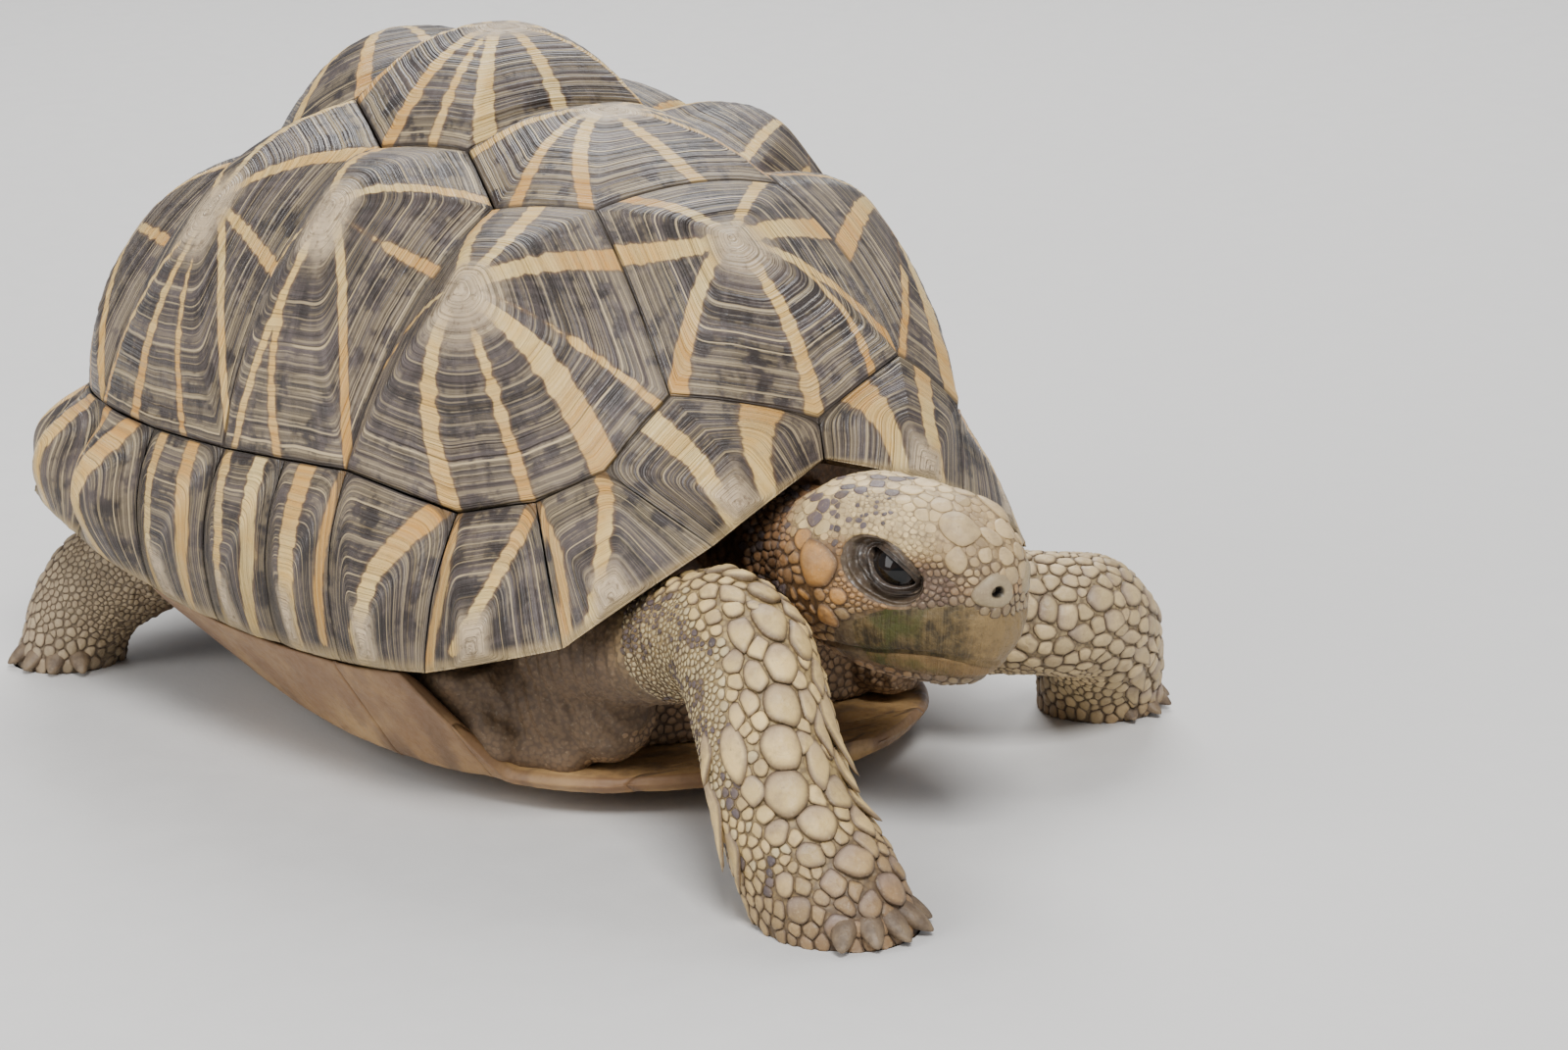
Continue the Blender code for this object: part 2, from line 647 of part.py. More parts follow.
def main():
    clear_scene()
    tortoise = bpy.data.collections.new("star_tortoise")
    cutters = bpy.data.collections.new("cutters")
    bpy.context.scene.collection.children.link(tortoise)
    bpy.context.scene.collection.children.link(cutters)
    materials = {name: make_material(name) for name in COLOURS}
    skin = materials["skin"]

    for name, corners, peak in plate_corners():
        plate_solid(name, corners, peak, materials["carapace"], tortoise)
    for name, top, low, first, last in marginal_edges():
        marginal_solid(name, top, low, first, last, materials["carapace"], tortoise)
    for name, (start, end) in PLASTRON_SEAMS.items():
        plastron_solid("plastron_" + name, start, end, materials["plastron"], tortoise)

    trunk_solid("trunk", 0.0, skin, tortoise)
    inner = trunk_solid("trunk_room", 0.3, skin, cutters)
    hide_cutter(inner)

    across = Vector((1, 0, 0))
    legs = [
        ("leg_fore_right", FORE_RIGHT, across, 5, math.radians(8), math.radians(100)),
        ("leg_fore_left", FORE_LEFT, Vector((0, -1, 0)), 5, math.radians(38), math.radians(100)),
        ("leg_hind_right", HIND_RIGHT, Vector((0, 1, 0)), 4, math.radians(-60), math.radians(80)),
        ("leg_hind_left", HIND_LEFT, Vector((0, 1, 0)), 4, math.radians(50), math.radians(80))]
    for name, sections, side_axis, claws, heading, spread in legs:
        leg(name, sections, side_axis, claws, heading, spread, skin, tortoise, cutters, inner)

    tail = tube("tail", TAIL, across, skin, tortoise)
    boolean(tail, inner, "DIFFERENCE")

    above = mouth_block("above_mouth", True, cutters)
    below = mouth_block("below_mouth", False, cutters)
    head = head_shape("head", skin, tortoise)
    boolean(head, below, "DIFFERENCE")
    jaw = head_shape("lower_jaw", materials["beak"], tortoise)
    boolean(jaw, above, "DIFFERENCE")
    room = head_shape("head_room", skin, cutters, GAP)
    hide_cutter(room)
    for side in (-1, 1):
        socket = eyeball("socket_" + side_name(side), side, EYE_RADIUS + GAP, skin, cutters)
        hide_cutter(socket)
        boolean(head, socket, "DIFFERENCE")
        eyeball("eye_" + side_name(side), side, EYE_RADIUS, materials["eye"], tortoise)

    neck = tube("neck", NECK_SECTIONS, across, skin, tortoise)
    boolean(neck, inner, "DIFFERENCE")
    boolean(neck, room, "DIFFERENCE")
    stand_on_floor((tortoise, cutters))


main()
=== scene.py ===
"""Looks of the Indian star tortoise: shell plates with growth rings and rays, one scaly skin,
eyes, horny beak and claws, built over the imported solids.

Lengths are millimetres in the animal's own frame (+Y towards the tail, the animal's right side
is -X) until place() turns them into the frame's metres.
"""
import math
import random

import bmesh
import bpy
import numpy as np
from mathutils import Matrix, Vector, noise
from mathutils.bvhtree import BVHTree
from mathutils.kdtree import KDTree


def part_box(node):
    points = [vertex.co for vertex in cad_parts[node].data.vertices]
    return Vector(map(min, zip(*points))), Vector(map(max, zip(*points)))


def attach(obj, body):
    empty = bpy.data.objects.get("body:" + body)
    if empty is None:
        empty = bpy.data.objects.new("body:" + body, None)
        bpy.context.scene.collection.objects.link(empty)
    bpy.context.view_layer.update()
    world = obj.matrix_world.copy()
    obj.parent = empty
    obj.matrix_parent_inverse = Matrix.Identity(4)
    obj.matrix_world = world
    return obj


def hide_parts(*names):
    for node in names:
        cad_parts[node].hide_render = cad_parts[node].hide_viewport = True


MM = 0.001

# ---- driving dimensions of the shell, as in the solids ---------------------------------------
PLASTRON_BOTTOM = -16.5
PLASTRON_THICK = 5.0
LEAN = -0.012
SHELL_CENTRE_Z = 20.0
PLATE_THICK = 4.0
RIM_THICK = 2.4
SEAM_GAP = 0.09
DOME_RADIUS = 85.0
SWELL_POWER = 2.4
REAR_SWELL = 8.5
LEFT_PROUD = (3.0, 0.0, 3.5)
# Upper and lower ends of the seams between marginals on the left side, from the middle of the
# front to the middle of the rear
COSTAL_EDGE = [
    (0.0, -109.7, 64.2), (46.7, -98.4, 57.9), (55.7, -85.2, 50.3), (63.1, -66.2, 45.4),
    (72.9, -37.8, 50.7), (78.0, -20.0, 50.5), (82.0, 0.0, 50.0), (85.0, 27.0, 50.0),
    (84.0, 54.0, 51.0), (75.0, 79.0, 50.0), (56.0, 99.0, 47.0), (31.0, 110.5, 44.0),
    (0.0, 114.5, 43.5)]
RIM = [
    (0.0, -111.5, 55.4), (33.0, -116.5, 43.5), (62.0, -103.0, 24.0), (77.0, -73.0, 14.4),
    (81.0, -45.0, 11.0), (83.0, -22.0, 10.0), (85.0, 2.0, 10.0), (87.0, 29.0, 12.0),
    (92.0, 56.0, 20.0), (89.0, 84.0, 25.0), (68.0, 109.0, 22.0), (34.0, 126.0, 14.0),
    (0.0, 131.0, 8.0)]
# Where three plates meet on the left side: at the front of the first vertebral, between two
# vertebrals, and between two costals; then the peaks of the plates
NAPE_SIDE = (30.0, -98.8, 71.5)
VERTEBRAL_CORNERS = [(24.0, -64.4, 105.0), (26.0, -17.0, 112.0), (26.0, 31.0, 118.0),
                     (24.0, 76.0, 101.0)]
VERTEBRAL_SIDES = [(34.0, -40.0, 103.0), (35.0, 5.0, 111.0), (34.0, 54.0, 103.0)]
VERTEBRAL_PEAKS = [(-2.5, -83.0, 98.6), (-2.5, -37.5, 120.5), (-0.5, 6.6, 134.5),
                   (-2.0, 51.5, 129.5), (-1.0, 93.0, 93.0)]
COSTAL_PEAKS = [(53.5, -56.0, 90.5), (59.5, -14.0, 103.0), (64.5, 29.5, 98.0),
                (61.0, 74.0, 86.0)]
# Half the width of the plastron along Y, the ends of the bridge, and the bands between seams
PLASTRON_OUTLINE = [(-107.0, 14.0), (-99.0, 33.0), (-88.0, 47.0), (-74.0, 55.0), (-64.0, 60.0),
                    (-50.0, 65.0), (-30.0, 68.0), (0.0, 66.0), (32.0, 61.0), (44.0, 57.0),
                    (62.0, 54.0), (80.0, 48.0), (98.0, 32.0), (108.0, 17.0)]
BRIDGE_START = -70.0
BRIDGE_END = 40.0
PLASTRON_SEAMS = {"gular": (-107.0, -92.0), "humeral": (-92.0, -66.0),
                  "pectoral": (-66.0, -40.0), "abdominal": (-40.0, 34.0),
                  "femoral": (34.0, 72.0), "anal": (72.0, 108.0)}

# ---- driving dimensions of the flesh ------------------------------------------------------------
HEAD_CENTRE = (0.0, -138.0, 38.0)
HEAD_YAW = math.radians(22.0)
HEAD_PITCH = math.radians(-3.0)
EYE_RADIUS = 5.6
EYE_PLACE = (3.6, 10.0, 3.0)

# ---- markings of the shell ----------------------------------------------------------------------
# A ray of a vertebral or costal plate: where it meets the seam, counted in corners round the
# plate, where it points to near the peak, its width at the seam, and how far out it starts.
PLATE_RAYS = {
    "vertebral_1": [(4.03, 3.80, 6.0, 0.1), (-0.02, 0.2, 4.6, 0.1), (0.62, 1.2, 2.8, 0.3),
                    (3.3, 3.4, 6.0, 0.1), (1.67, 1.67, 6.5, 0.1), (2.1, 2.15, 4.5, 0.1),
                    (2.85, 2.8, 4.5, 0.1), (1.05, 1.25, 4.0, 0.2)],
    "vertebral_2": [(4.92, 4.55, 5.0, 0.1), (4.2, 4.0, 3.6, 0.1), (5.55, 5.45, 4.2, 0.2),
                    (0.1, 0.3, 4.5, 0.1), (0.95, 0.95, 4.0, 0.1), (2.0, 1.9, 4.5, 0.1),
                    (2.55, 2.5, 4.0, 0.1), (3.1, 3.15, 4.5, 0.1), (1.5, 1.5, 2.5, 0.3)],
    "vertebral_3": [(5.1, 5.0, 5.5, 0.1), (5.5, 5.5, 4.0, 0.1), (4.05, 4.05, 4.5, 0.1),
                    (0.05, 0.1, 4.5, 0.1), (1.0, 1.0, 4.0, 0.1), (2.0, 2.0, 4.5, 0.1),
                    (2.6, 2.55, 3.5, 0.1), (3.1, 3.0, 4.5, 0.1), (4.6, 4.6, 2.5, 0.3)],
    "vertebral_4": [(5.05, 5.0, 5.0, 0.1), (5.5, 5.5, 3.5, 0.1), (4.1, 4.05, 4.5, 0.1),
                    (0.0, 0.1, 4.5, 0.1), (1.05, 1.0, 4.0, 0.1), (2.0, 2.0, 5.0, 0.1),
                    (2.5, 2.5, 3.5, 0.1), (3.05, 3.0, 5.0, 0.1)],
    "vertebral_5": [(0.05, 0.0, 4.5, 0.1), (0.6, 0.6, 3.5, 0.2), (1.1, 1.1, 5.5, 0.1),
                    (2.0, 2.0, 4.5, 0.1), (2.9, 2.9, 5.5, 0.1), (3.45, 3.4, 3.5, 0.2),
                    (4.0, 4.0, 4.5, 0.1), (4.5, 4.5, 3.5, 0.2)],
    "costal_right_1": [(3.03, 3.4, 5.0, 0.1), (2.07, 1.9, 3.2, 0.22), (0.98, 0.45, 7.0, 0.1),
                       (0.15, -0.12, 2.6, 0.55), (6.33, 6.28, 6.0, 0.1), (5.0, 5.0, 6.5, 0.1),
                       (5.45, 5.8, 4.5, 0.1), (4.33, 4.45, 2.2, 0.2)],
    "costal_right_2": [(0.97, 0.68, 5.0, 0.1), (2.1, 2.45, 2.4, 0.15), (2.83, 2.5, 2.8, 0.15),
                       (5.9, 5.7, 3.5, 0.1), (0.3, 0.35, 3.0, 0.6), (4.2, 4.1, 5.0, 0.1),
                       (3.4, 3.4, 2.5, 0.3)],
    "costal_right_3": [(0.93, 0.62, 5.0, 0.1), (0.5, 0.45, 3.6, 0.2), (2.3, 2.2, 3.5, 0.15),
                       (0.03, 0.05, 4.0, 0.1), (2.95, 3.0, 3.0, 0.2), (4.1, 4.0, 5.0, 0.1),
                       (5.0, 5.0, 4.0, 0.1), (1.5, 1.5, 2.2, 0.3)],
    "costal_right_4": [(1.0, 0.8, 5.0, 0.1), (0.45, 0.45, 3.0, 0.2), (2.0, 1.9, 4.5, 0.1),
                       (3.0, 3.0, 4.0, 0.1), (4.0, 4.0, 4.5, 0.1), (5.0, 5.0, 5.0, 0.1),
                       (0.0, 0.0, 4.0, 0.1), (1.5, 1.5, 2.5, 0.3)],
}
# A ray of a marginal plate: (u, v) of its end at the rim, of its bend and of its end at the
# upper seam, and its width; u runs from the front seam to the rear one, v from the upper seam
# to the rim.
MARGINAL_RAYS = {
    1: [((0.78, 1.0), (0.66, 0.45), (0.67, 0.0), 5.0),
        ((0.47, 1.0), (0.33, 0.5), (0.19, 0.0), 5.0)],
    2: [((0.78, 0.95), (0.48, 0.5), (0.06, 0.0), 3.2),
        ((0.97, 1.0), (0.87, 0.4), (0.99, 0.0), 2.6)],
    3: [((0.75, 0.88), (0.36, 0.4), (0.02, 0.0), 3.4),
        ((0.97, 1.0), (0.9, 0.45), (0.98, 0.0), 2.8)],
    4: [((0.68, 0.85), (0.5, 0.45), (0.12, 0.0), 4.6),
        ((0.66, 1.0), (0.68, 0.9), (0.68, 0.8), 4.6)],
    5: [((0.6, 1.0), (0.55, 0.6), (0.58, 0.0), 5.2), ((0.15, 0.9), (0.08, 0.4), (0.02, 0.0), 2.4)],
    6: [((0.3, 1.0), (0.18, 0.5), (0.33, 0.0), 3.8), ((0.75, 1.0), (0.62, 0.45), (0.9, 0.0), 3.2)],
    7: [((0.3, 1.0), (0.2, 0.5), (0.35, 0.0), 3.6), ((0.8, 1.0), (0.7, 0.5), (0.8, 0.0), 3.4)],
    8: [((0.5, 1.0), (0.5, 0.5), (0.3, 0.0), 6.0), ((0.55, 0.8), (0.6, 0.5), (0.85, 0.0), 5.0)],
    9: [((0.5, 1.0), (0.5, 0.5), (0.35, 0.0), 6.0), ((0.5, 0.8), (0.6, 0.5), (0.9, 0.0), 4.5)],
    10: [((0.5, 1.0), (0.5, 0.5), (0.25, 0.0), 5.0), ((0.5, 0.8), (0.6, 0.4), (0.8, 0.0), 4.5)],
    11: [((0.5, 1.0), (0.45, 0.5), (0.25, 0.0), 4.5), ((0.5, 0.8), (0.6, 0.4), (0.8, 0.0), 4.0)],
    12: [((0.5, 1.0), (0.4, 0.5), (0.2, 0.0), 5.0), ((0.5, 1.0), (0.6, 0.5), (0.8, 0.0), 5.0)],
}

# Colours of the horn, linear
HORN_DARK = (0.030, 0.022, 0.018)
HORN_BROWN = (0.074, 0.055, 0.047)
HORN_GREY = (0.160, 0.124, 0.112)
HORN_LINE = (0.56, 0.43, 0.24)
HORN_CREAM = (0.74, 0.54, 0.225)
HORN_YELLOW = (0.70, 0.43, 0.12)
HORN_AMBER = (0.54, 0.245, 0.042)
HORN_PALE = (0.62, 0.47, 0.29)


# ---- frame --------------------------------------------------------------------------------------
def head_axes():
    """The head's directions: towards the snout, to its left, up."""
    turn = Matrix.Rotation(HEAD_YAW, 3, "Z") @ Matrix.Rotation(-HEAD_PITCH, 3, "X")
    axes = [turn @ Vector(v) for v in ((0, -1, 0), (1, 0, 0), (0, 0, 1))]
    return np.array([list(a) for a in axes])


HEAD_AXES = head_axes()


def head_point(ahead, sideways, height):
    """A place on the head, in the animal's frame."""
    return np.array(HEAD_CENTRE) + np.array([ahead, sideways, height]) @ HEAD_AXES


def frame_shift():
    """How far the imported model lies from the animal's own frame, read off the right eye."""
    low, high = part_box("eye_right")
    ahead, sideways, height = EYE_PLACE
    middle = np.array(low + high) / 2 / MM
    return middle - head_point(ahead, -sideways, height)


def place(points):
    """Points of the animal's frame, in the frame's metres."""
    return (np.asarray(points, float) + SHIFT) * MM


# ---- meshes -------------------------------------------------------------------------------------
def make_mesh(name, points, quads=(), tris=()):
    """A mesh from arrays of points in metres and of quads and triangles."""
    quads = np.asarray(quads, int).reshape(-1, 4)
    tris = np.asarray(tris, int).reshape(-1, 3)
    mesh = bpy.data.meshes.new(name)
    loops = np.concatenate([quads.ravel(), tris.ravel()])
    starts = np.concatenate([np.arange(len(quads)) * 4,
                             len(quads) * 4 + np.arange(len(tris)) * 3])
    mesh.vertices.add(len(points))
    mesh.vertices.foreach_set("co", np.asarray(points, np.float32).ravel())
    mesh.loops.add(len(loops))
    mesh.loops.foreach_set("vertex_index", loops.astype(np.int32))
    mesh.polygons.add(len(starts))
    mesh.polygons.foreach_set("loop_start", starts.astype(np.int32))
    mesh.update(calc_edges=True)
    mesh.shade_smooth()
    return mesh


def make_piece(name, mesh, material, slot, *nodes):
    """A visible piece, and the solids that it stands for."""
    mesh.materials.append(material)
    piece = bpy.data.objects.new(name, mesh)
    bpy.context.scene.collection.objects.link(piece)
    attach(piece, "root")
    if nodes:
        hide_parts(*nodes)
    return piece


def ring_quads(rings, count, start=0):
    """Quads between closed rings of points that follow each other, count points to a ring."""
    index = np.arange(count)
    after = (index + 1) % count
    first = start + np.arange(rings - 1)[:, None] * count
    return np.stack([first + index, first + after, first + count + after,
                     first + count + index], -1).reshape(-1, 4)


def fan(hub, start, count):
    """Triangles from one point to each edge of a closed ring of points."""
    index = np.arange(count)
    return np.stack([np.full(count, hub), start + index, start + (index + 1) % count], 1)


def turn_outwards(mesh, close_ends=False):
    """Turns every face of a closed mesh outwards, after closing its ends where asked."""
    mended = bmesh.new()
    mended.from_mesh(mesh)
    if close_ends:
        open_edges = [edge for edge in mended.edges if edge.is_boundary]
        ends = bmesh.ops.holes_fill(mended, edges=open_edges, sides=0)["faces"]
        bmesh.ops.triangulate(mended, faces=ends)
    bmesh.ops.recalc_face_normals(mended, faces=mended.faces)
    mended.to_mesh(mesh)
    mended.free()


def noise_at(points, pitch):
    """Smooth noise at every point of an array of points."""
    flat = points.reshape(-1, 3) * pitch
    return np.array([noise.noise(p) for p in flat]).reshape(points.shape[:-1])


def give(mesh, name, values):
    """Stores one number per vertex for the materials."""
    layer = mesh.attributes.new(name, "FLOAT", "POINT")
    layer.data.foreach_set("value", np.asarray(values, np.float32).ravel())


def give_vector(mesh, name, values):
    """As give, for three numbers per vertex."""
    layer = mesh.attributes.new(name, "FLOAT_VECTOR", "POINT")
    layer.data.foreach_set("vector", np.asarray(values, np.float32).ravel())


def give_colour(mesh, name, values):
    """As give, for a colour per vertex."""
    layer = mesh.attributes.new(name, "FLOAT_COLOR", "POINT")
    rgba = np.ones((len(values), 4), np.float32)
    rgba[:, :3] = values
    layer.data.foreach_set("color", rgba.ravel())


def corner_vertices(mesh):
    """The vertex of each face corner."""
    out = np.empty(len(mesh.loops), np.int32)
    mesh.loops.foreach_get("vertex_index", out)
    return out


def give_unwrap(mesh, uv):
    """Stores the place of each face corner on the unwrap that the skin's textures use."""
    layer = mesh.uv_layers.new(name="OFBake")
    layer.data.foreach_set("uv", uv.astype(np.float32).ravel())


def smoothstep(low, high, x):
    """0 up to low, 1 from high on, and smooth between them; low may be the larger."""
    t = np.clip((np.asarray(x, float) - low) / (high - low), 0.0, 1.0)
    return t * t * (3.0 - 2.0 * t)


def circle(count):
    """The angles of so many points evenly round a circle."""
    return np.arange(count) * 2 * math.pi / count


def signed_power(x, power):
    """A power of the size of x, with the sign of x."""
    return np.sign(x) * np.abs(x) ** power


def unit(vectors):
    """Vectors made one long."""
    vectors = np.asarray(vectors, float)
    return vectors / np.maximum(np.linalg.norm(vectors, axis=-1, keepdims=True), 1e-9)


def grid_normals(points, closed):
    """Unit normals of a grid of points, (rows, columns, 3); closed joins its last column."""
    if closed:
        across = np.roll(points, -1, 1) - np.roll(points, 1, 1)
    else:
        across = np.gradient(points, axis=1)
    return unit(np.cross(across, np.gradient(points, axis=0)))


# ---- shell geometry -----------------------------------------------------------------------------
def side_name(side):
    return "right" if side < 0 else "left"


def mirrored(point, side):
    return np.array([point[0] * side, point[1], point[2]], float)


def lean(points):
    """Points of the upright shell, on the shell as it leans to one side in the step."""
    points = np.array(points, float)
    points[..., 0] += LEAN * (points[..., 2] - PLASTRON_BOTTOM)
    return points


def core_points(points):
    """For each point the place inside the shell that it is taken to face away from."""
    core = np.zeros_like(points)
    core[..., 1] = 0.5 * points[..., 1]
    core[..., 2] = SHELL_CENTRE_Z
    return core


def sunk(points, depth):
    """Points moved inwards."""
    return points + unit(core_points(points) - points) * np.asarray(depth)[..., None]


def seam(start, end, steps, radius):
    """Points from start up to, not including, end, on an arc that bulges outwards."""
    start = np.asarray(start, float)
    end = np.asarray(end, float)
    middle = (start + end) / 2
    outward = unit(middle - core_points(middle))
    sag = ((end - start) ** 2).sum() / (8 * radius)
    t = np.arange(steps)[:, None] / steps
    return start + (end - start) * t + outward * (4 * t * (1 - t) * sag)


def path(corners, radius, steps):
    """Points along the seams from corner to corner, both ends included."""
    rows = [seam(a, b, steps, radius) for a, b in zip(corners, corners[1:])]
    return np.vstack(rows + [np.asarray(corners[-1], float)[None]])


def plate_corners():
    """Each vertebral and costal plate as its name, its corners in order and its peak."""
    corner = {}
    for side in (-1, 1):
        for i, point in enumerate(COSTAL_EDGE):
            corner["edge", i, side] = mirrored(point, side)
        for i, point in enumerate(VERTEBRAL_CORNERS):
            corner["corner", i, side] = mirrored(point, side)
        for i, point in enumerate(VERTEBRAL_SIDES):
            corner["side", i, side] = mirrored(point, side)
        corner["nape", 0, side] = mirrored(NAPE_SIDE, side)

    def ring(*keys):
        return [corner[key] for key in keys]

    plates = [("vertebral_1", ring(("edge", 0, 1), ("nape", 0, 1), ("corner", 0, 1),
                                   ("corner", 0, -1), ("nape", 0, -1)), VERTEBRAL_PEAKS[0])]
    for i in range(3):
        plates.append(("vertebral_%d" % (i + 2),
                       ring(("corner", i, 1), ("side", i, 1), ("corner", i + 1, 1),
                            ("corner", i + 1, -1), ("side", i, -1), ("corner", i, -1)),
                       VERTEBRAL_PEAKS[i + 1]))
    plates.append(("vertebral_5", ring(("corner", 3, 1), ("edge", 11, 1), ("edge", 12, 1),
                                       ("edge", 11, -1), ("corner", 3, -1)), VERTEBRAL_PEAKS[4]))
    rings = [
        (("nape", 0), ("edge", 1), ("edge", 2), ("edge", 3), ("edge", 4), ("side", 0),
         ("corner", 0)),
        (("side", 0), ("edge", 4), ("edge", 5), ("edge", 6), ("side", 1), ("corner", 1)),
        (("side", 1), ("edge", 6), ("edge", 7), ("edge", 8), ("side", 2), ("corner", 2)),
        (("side", 2), ("edge", 8), ("edge", 9), ("edge", 10), ("edge", 11), ("corner", 3))]
    for side in (-1, 1):
        proud = np.array(LEFT_PROUD) * (side > 0)
        for i, keys in enumerate(rings):
            plates.append(("costal_%s_%d" % (side_name(side), i + 1),
                           ring(*[(kind, n, side) for kind, n in keys]),
                           mirrored(COSTAL_PEAKS[i], side) + proud))
    return plates


def growth_profile(rng, count, extent):
    """Relief and pale lines against growth, 0 at the peak to 1 at the seam.

    The plate grows at its seams, a little each season, so the lines crowd together there.
    """
    growth = np.linspace(0.0, 1.0, count)
    relief = np.zeros(count)
    lines = np.zeros(count)
    at = 0.16
    while at < 0.965:
        width = rng.uniform(0.8, 1.6) / extent
        relief -= rng.uniform(0.16, 0.42) * np.exp(-((growth - at) / width) ** 2)
        pale = at + rng.uniform(0.4, 1.4) / extent
        lines += rng.uniform(0.35, 1.0) * np.exp(-((growth - pale) / (0.45 / extent)) ** 2)
        at += rng.uniform(0.06, 0.12) * (1.25 - at)
    at = 0.2
    while at < 0.99:
        width = rng.uniform(0.35, 0.6) / extent
        relief -= rng.uniform(0.03, 0.12) * np.exp(-((growth - at) / width) ** 2)
        if rng.random() < 0.25 + 0.6 * at ** 3:
            lines += rng.uniform(0.2, 0.75) * np.exp(-((growth - at) / (0.3 / extent)) ** 2)
        at += rng.uniform(1.0, 2.6) * (1.3 - at) / extent
    return growth, relief, np.clip(lines, 0.0, 1.0)


def plate_piece(name, corners, peak, material):
    """A horny plate: a swollen fan from its peak to its seams, ridged by growth rings."""
    rng = random.Random(name)
    peak = np.asarray(peak, float)
    loop, marks = [], []
    for i, corner in enumerate(corners):
        end = corners[(i + 1) % len(corners)]
        steps = max(10, int(np.linalg.norm(end - corner) / 1.35))
        loop.append(seam(corner, end, steps, DOME_RADIUS))
        marks.append(i + np.arange(steps) / steps)
    loop = np.vstack(loop)
    marks = np.concatenate(marks)
    middle = loop.mean(0)
    normal = unit(np.cross(loop, np.roll(loop, -1, 0)).sum(0))
    if normal @ (middle - core_points(middle)) < 0:
        loop, marks, normal = loop[::-1], marks[::-1], -normal
    loop = loop + unit(middle - loop) * SEAM_GAP
    count = len(loop)
    extent = np.linalg.norm(loop - peak, axis=1).mean()
    rows = int(extent / 0.5)
    growth, relief, lines = growth_profile(rng, rows + 1, extent)
    growth, relief, lines = growth[1:], relief[1:], lines[1:]
    waves = np.fft.rfft(loop - peak, axis=0)
    order = np.arange(len(waves))[:, None]
    outer = np.zeros((rows, count, 3))
    for r, rho in enumerate(growth):
        soft = np.fft.irfft(waves * np.exp(-(order * 0.17 * (1 - rho)) ** 2), count, axis=0)
        height = -(soft @ normal)
        swell = height * (rho - rho ** SWELL_POWER) + 0.5 * (1 - rho)
        outer[r] = peak + rho * soft + normal * swell[:, None]
    normals = grid_normals(outer, True)
    if (normals[rows // 2] @ normal).mean() < 0:
        normals = -normals
    wobble = noise_at(outer, 0.11)
    edge = smoothstep(0.975, 1.0, growth)
    rough = relief[:, None] * (0.75 + 0.5 * wobble) + 0.35 * wobble * (1 - growth[:, None])
    outer = outer + normals * (rough - 0.34 * edge[:, None])[..., None]
    under = sunk(loop, np.full(count, PLATE_THICK))
    points = np.vstack([(peak + normal * 0.5)[None], outer.reshape(-1, 3), under,
                        under.mean(0)[None]])
    quads = ring_quads(rows + 1, count, 1)[:, [0, 3, 2, 1]]
    below = fan(len(points) - 1, 1 + rows * count, count)[:, [1, 0, 2]]
    mesh = make_mesh(name, place(lean(points)), quads, np.vstack([fan(0, 1, count), below]))

    length = np.linalg.norm(np.roll(loop, -1, 0) - loop, axis=1)
    pitch = (np.abs(np.roll(marks, -1) - marks) % 1.0).clip(0.001, 0.2)
    per_mark = np.convolve(np.tile(length / pitch, 3), np.ones(9) / 9, "same")[count:2 * count]
    kinds = len(corners)
    ray = np.full((rows, count), -20.0)
    warm = np.zeros((rows, count))
    for end, inner, width, start_at in PLATE_RAYS[name.replace("left", "right")]:
        if "left" in name:
            end += rng.uniform(-0.15, 0.15)
        centre = end + (inner - end) * np.clip((1 - growth) / 0.6, 0, 1.3)
        away = (marks[None] - centre[:, None] + kinds / 2) % kinds - kinds / 2
        away = np.abs(away) * per_mark[None] * growth[:, None]
        half = width / 2 * (0.52 + 0.48 * growth)
        half = half * smoothstep(start_at - 0.03, start_at + 0.05, growth)
        inside = half[:, None] - away
        warm = np.where(inside > ray, rng.uniform(0.2, 1.0), warm)
        ray = np.maximum(ray, inside)
    turn = circle(count)
    radius = length.sum() / (2 * math.pi)
    spoke = np.zeros((rows, count, 3))
    spoke[..., 0], spoke[..., 1] = radius * np.cos(turn), radius * np.sin(turn)
    spoke[..., 2] = growth[:, None] * extent * 0.12

    def spread(top, grid, below):
        """One number for the peak, for each point of the outside, and for the underside."""
        grid = np.broadcast_to(grid, (rows, count)).ravel()
        return np.concatenate([[top], grid, np.full(count + 1, below)])

    give(mesh, "growth", spread(0.0, growth[:, None], 1.0))
    give(mesh, "depth", spread(0.0, growth[:, None] * extent, extent) + rng.uniform(0, 900))
    give(mesh, "line", spread(0.0, lines[:, None], 0.0))
    give(mesh, "ray", spread(3.0, ray, -5.0))
    give(mesh, "warm", spread(0.2, warm, 0.5))
    give(mesh, "rim", np.zeros(len(points)))
    give_vector(mesh, "spoke", np.vstack([np.zeros((1, 3)), spoke.reshape(-1, 3),
                                          np.zeros((count + 1, 3))]))
    return make_piece(name + "_horn", mesh, material, "carapace", name)


def marginal_edges():
    """Each marginal as its name, upper edge, rim and numbers, from front to rear."""
    marginals = []
    for side in (-1, 1):
        top = [mirrored(p, side) for p in COSTAL_EDGE]
        low = [mirrored(p, side) for p in RIM]
        nape = mirrored(NAPE_SIDE, side)
        side_rim = low[0] * 0.45 + low[1] * 0.55 + np.array([0.0, -1.5, 1.0])
        marginals.append(("marginal_%s_1" % side_name(side), [top[0], nape, top[1]],
                          [low[0], side_rim, low[1]], 0, 1))
        for i in range(1, 11):
            marginals.append(("marginal_%s_%d" % (side_name(side), i + 1),
                              [top[i], top[i + 1]], [low[i], low[i + 1]], i, i + 1))
    last = [mirrored(COSTAL_EDGE[11], -1), mirrored(COSTAL_EDGE[12], 1),
            mirrored(COSTAL_EDGE[11], 1)]
    tip = [mirrored(RIM[11], -1), mirrored(RIM[12], 1), mirrored(RIM[11], 1)]
    marginals.append(("supracaudal", last, tip, 11, 11))
    return marginals


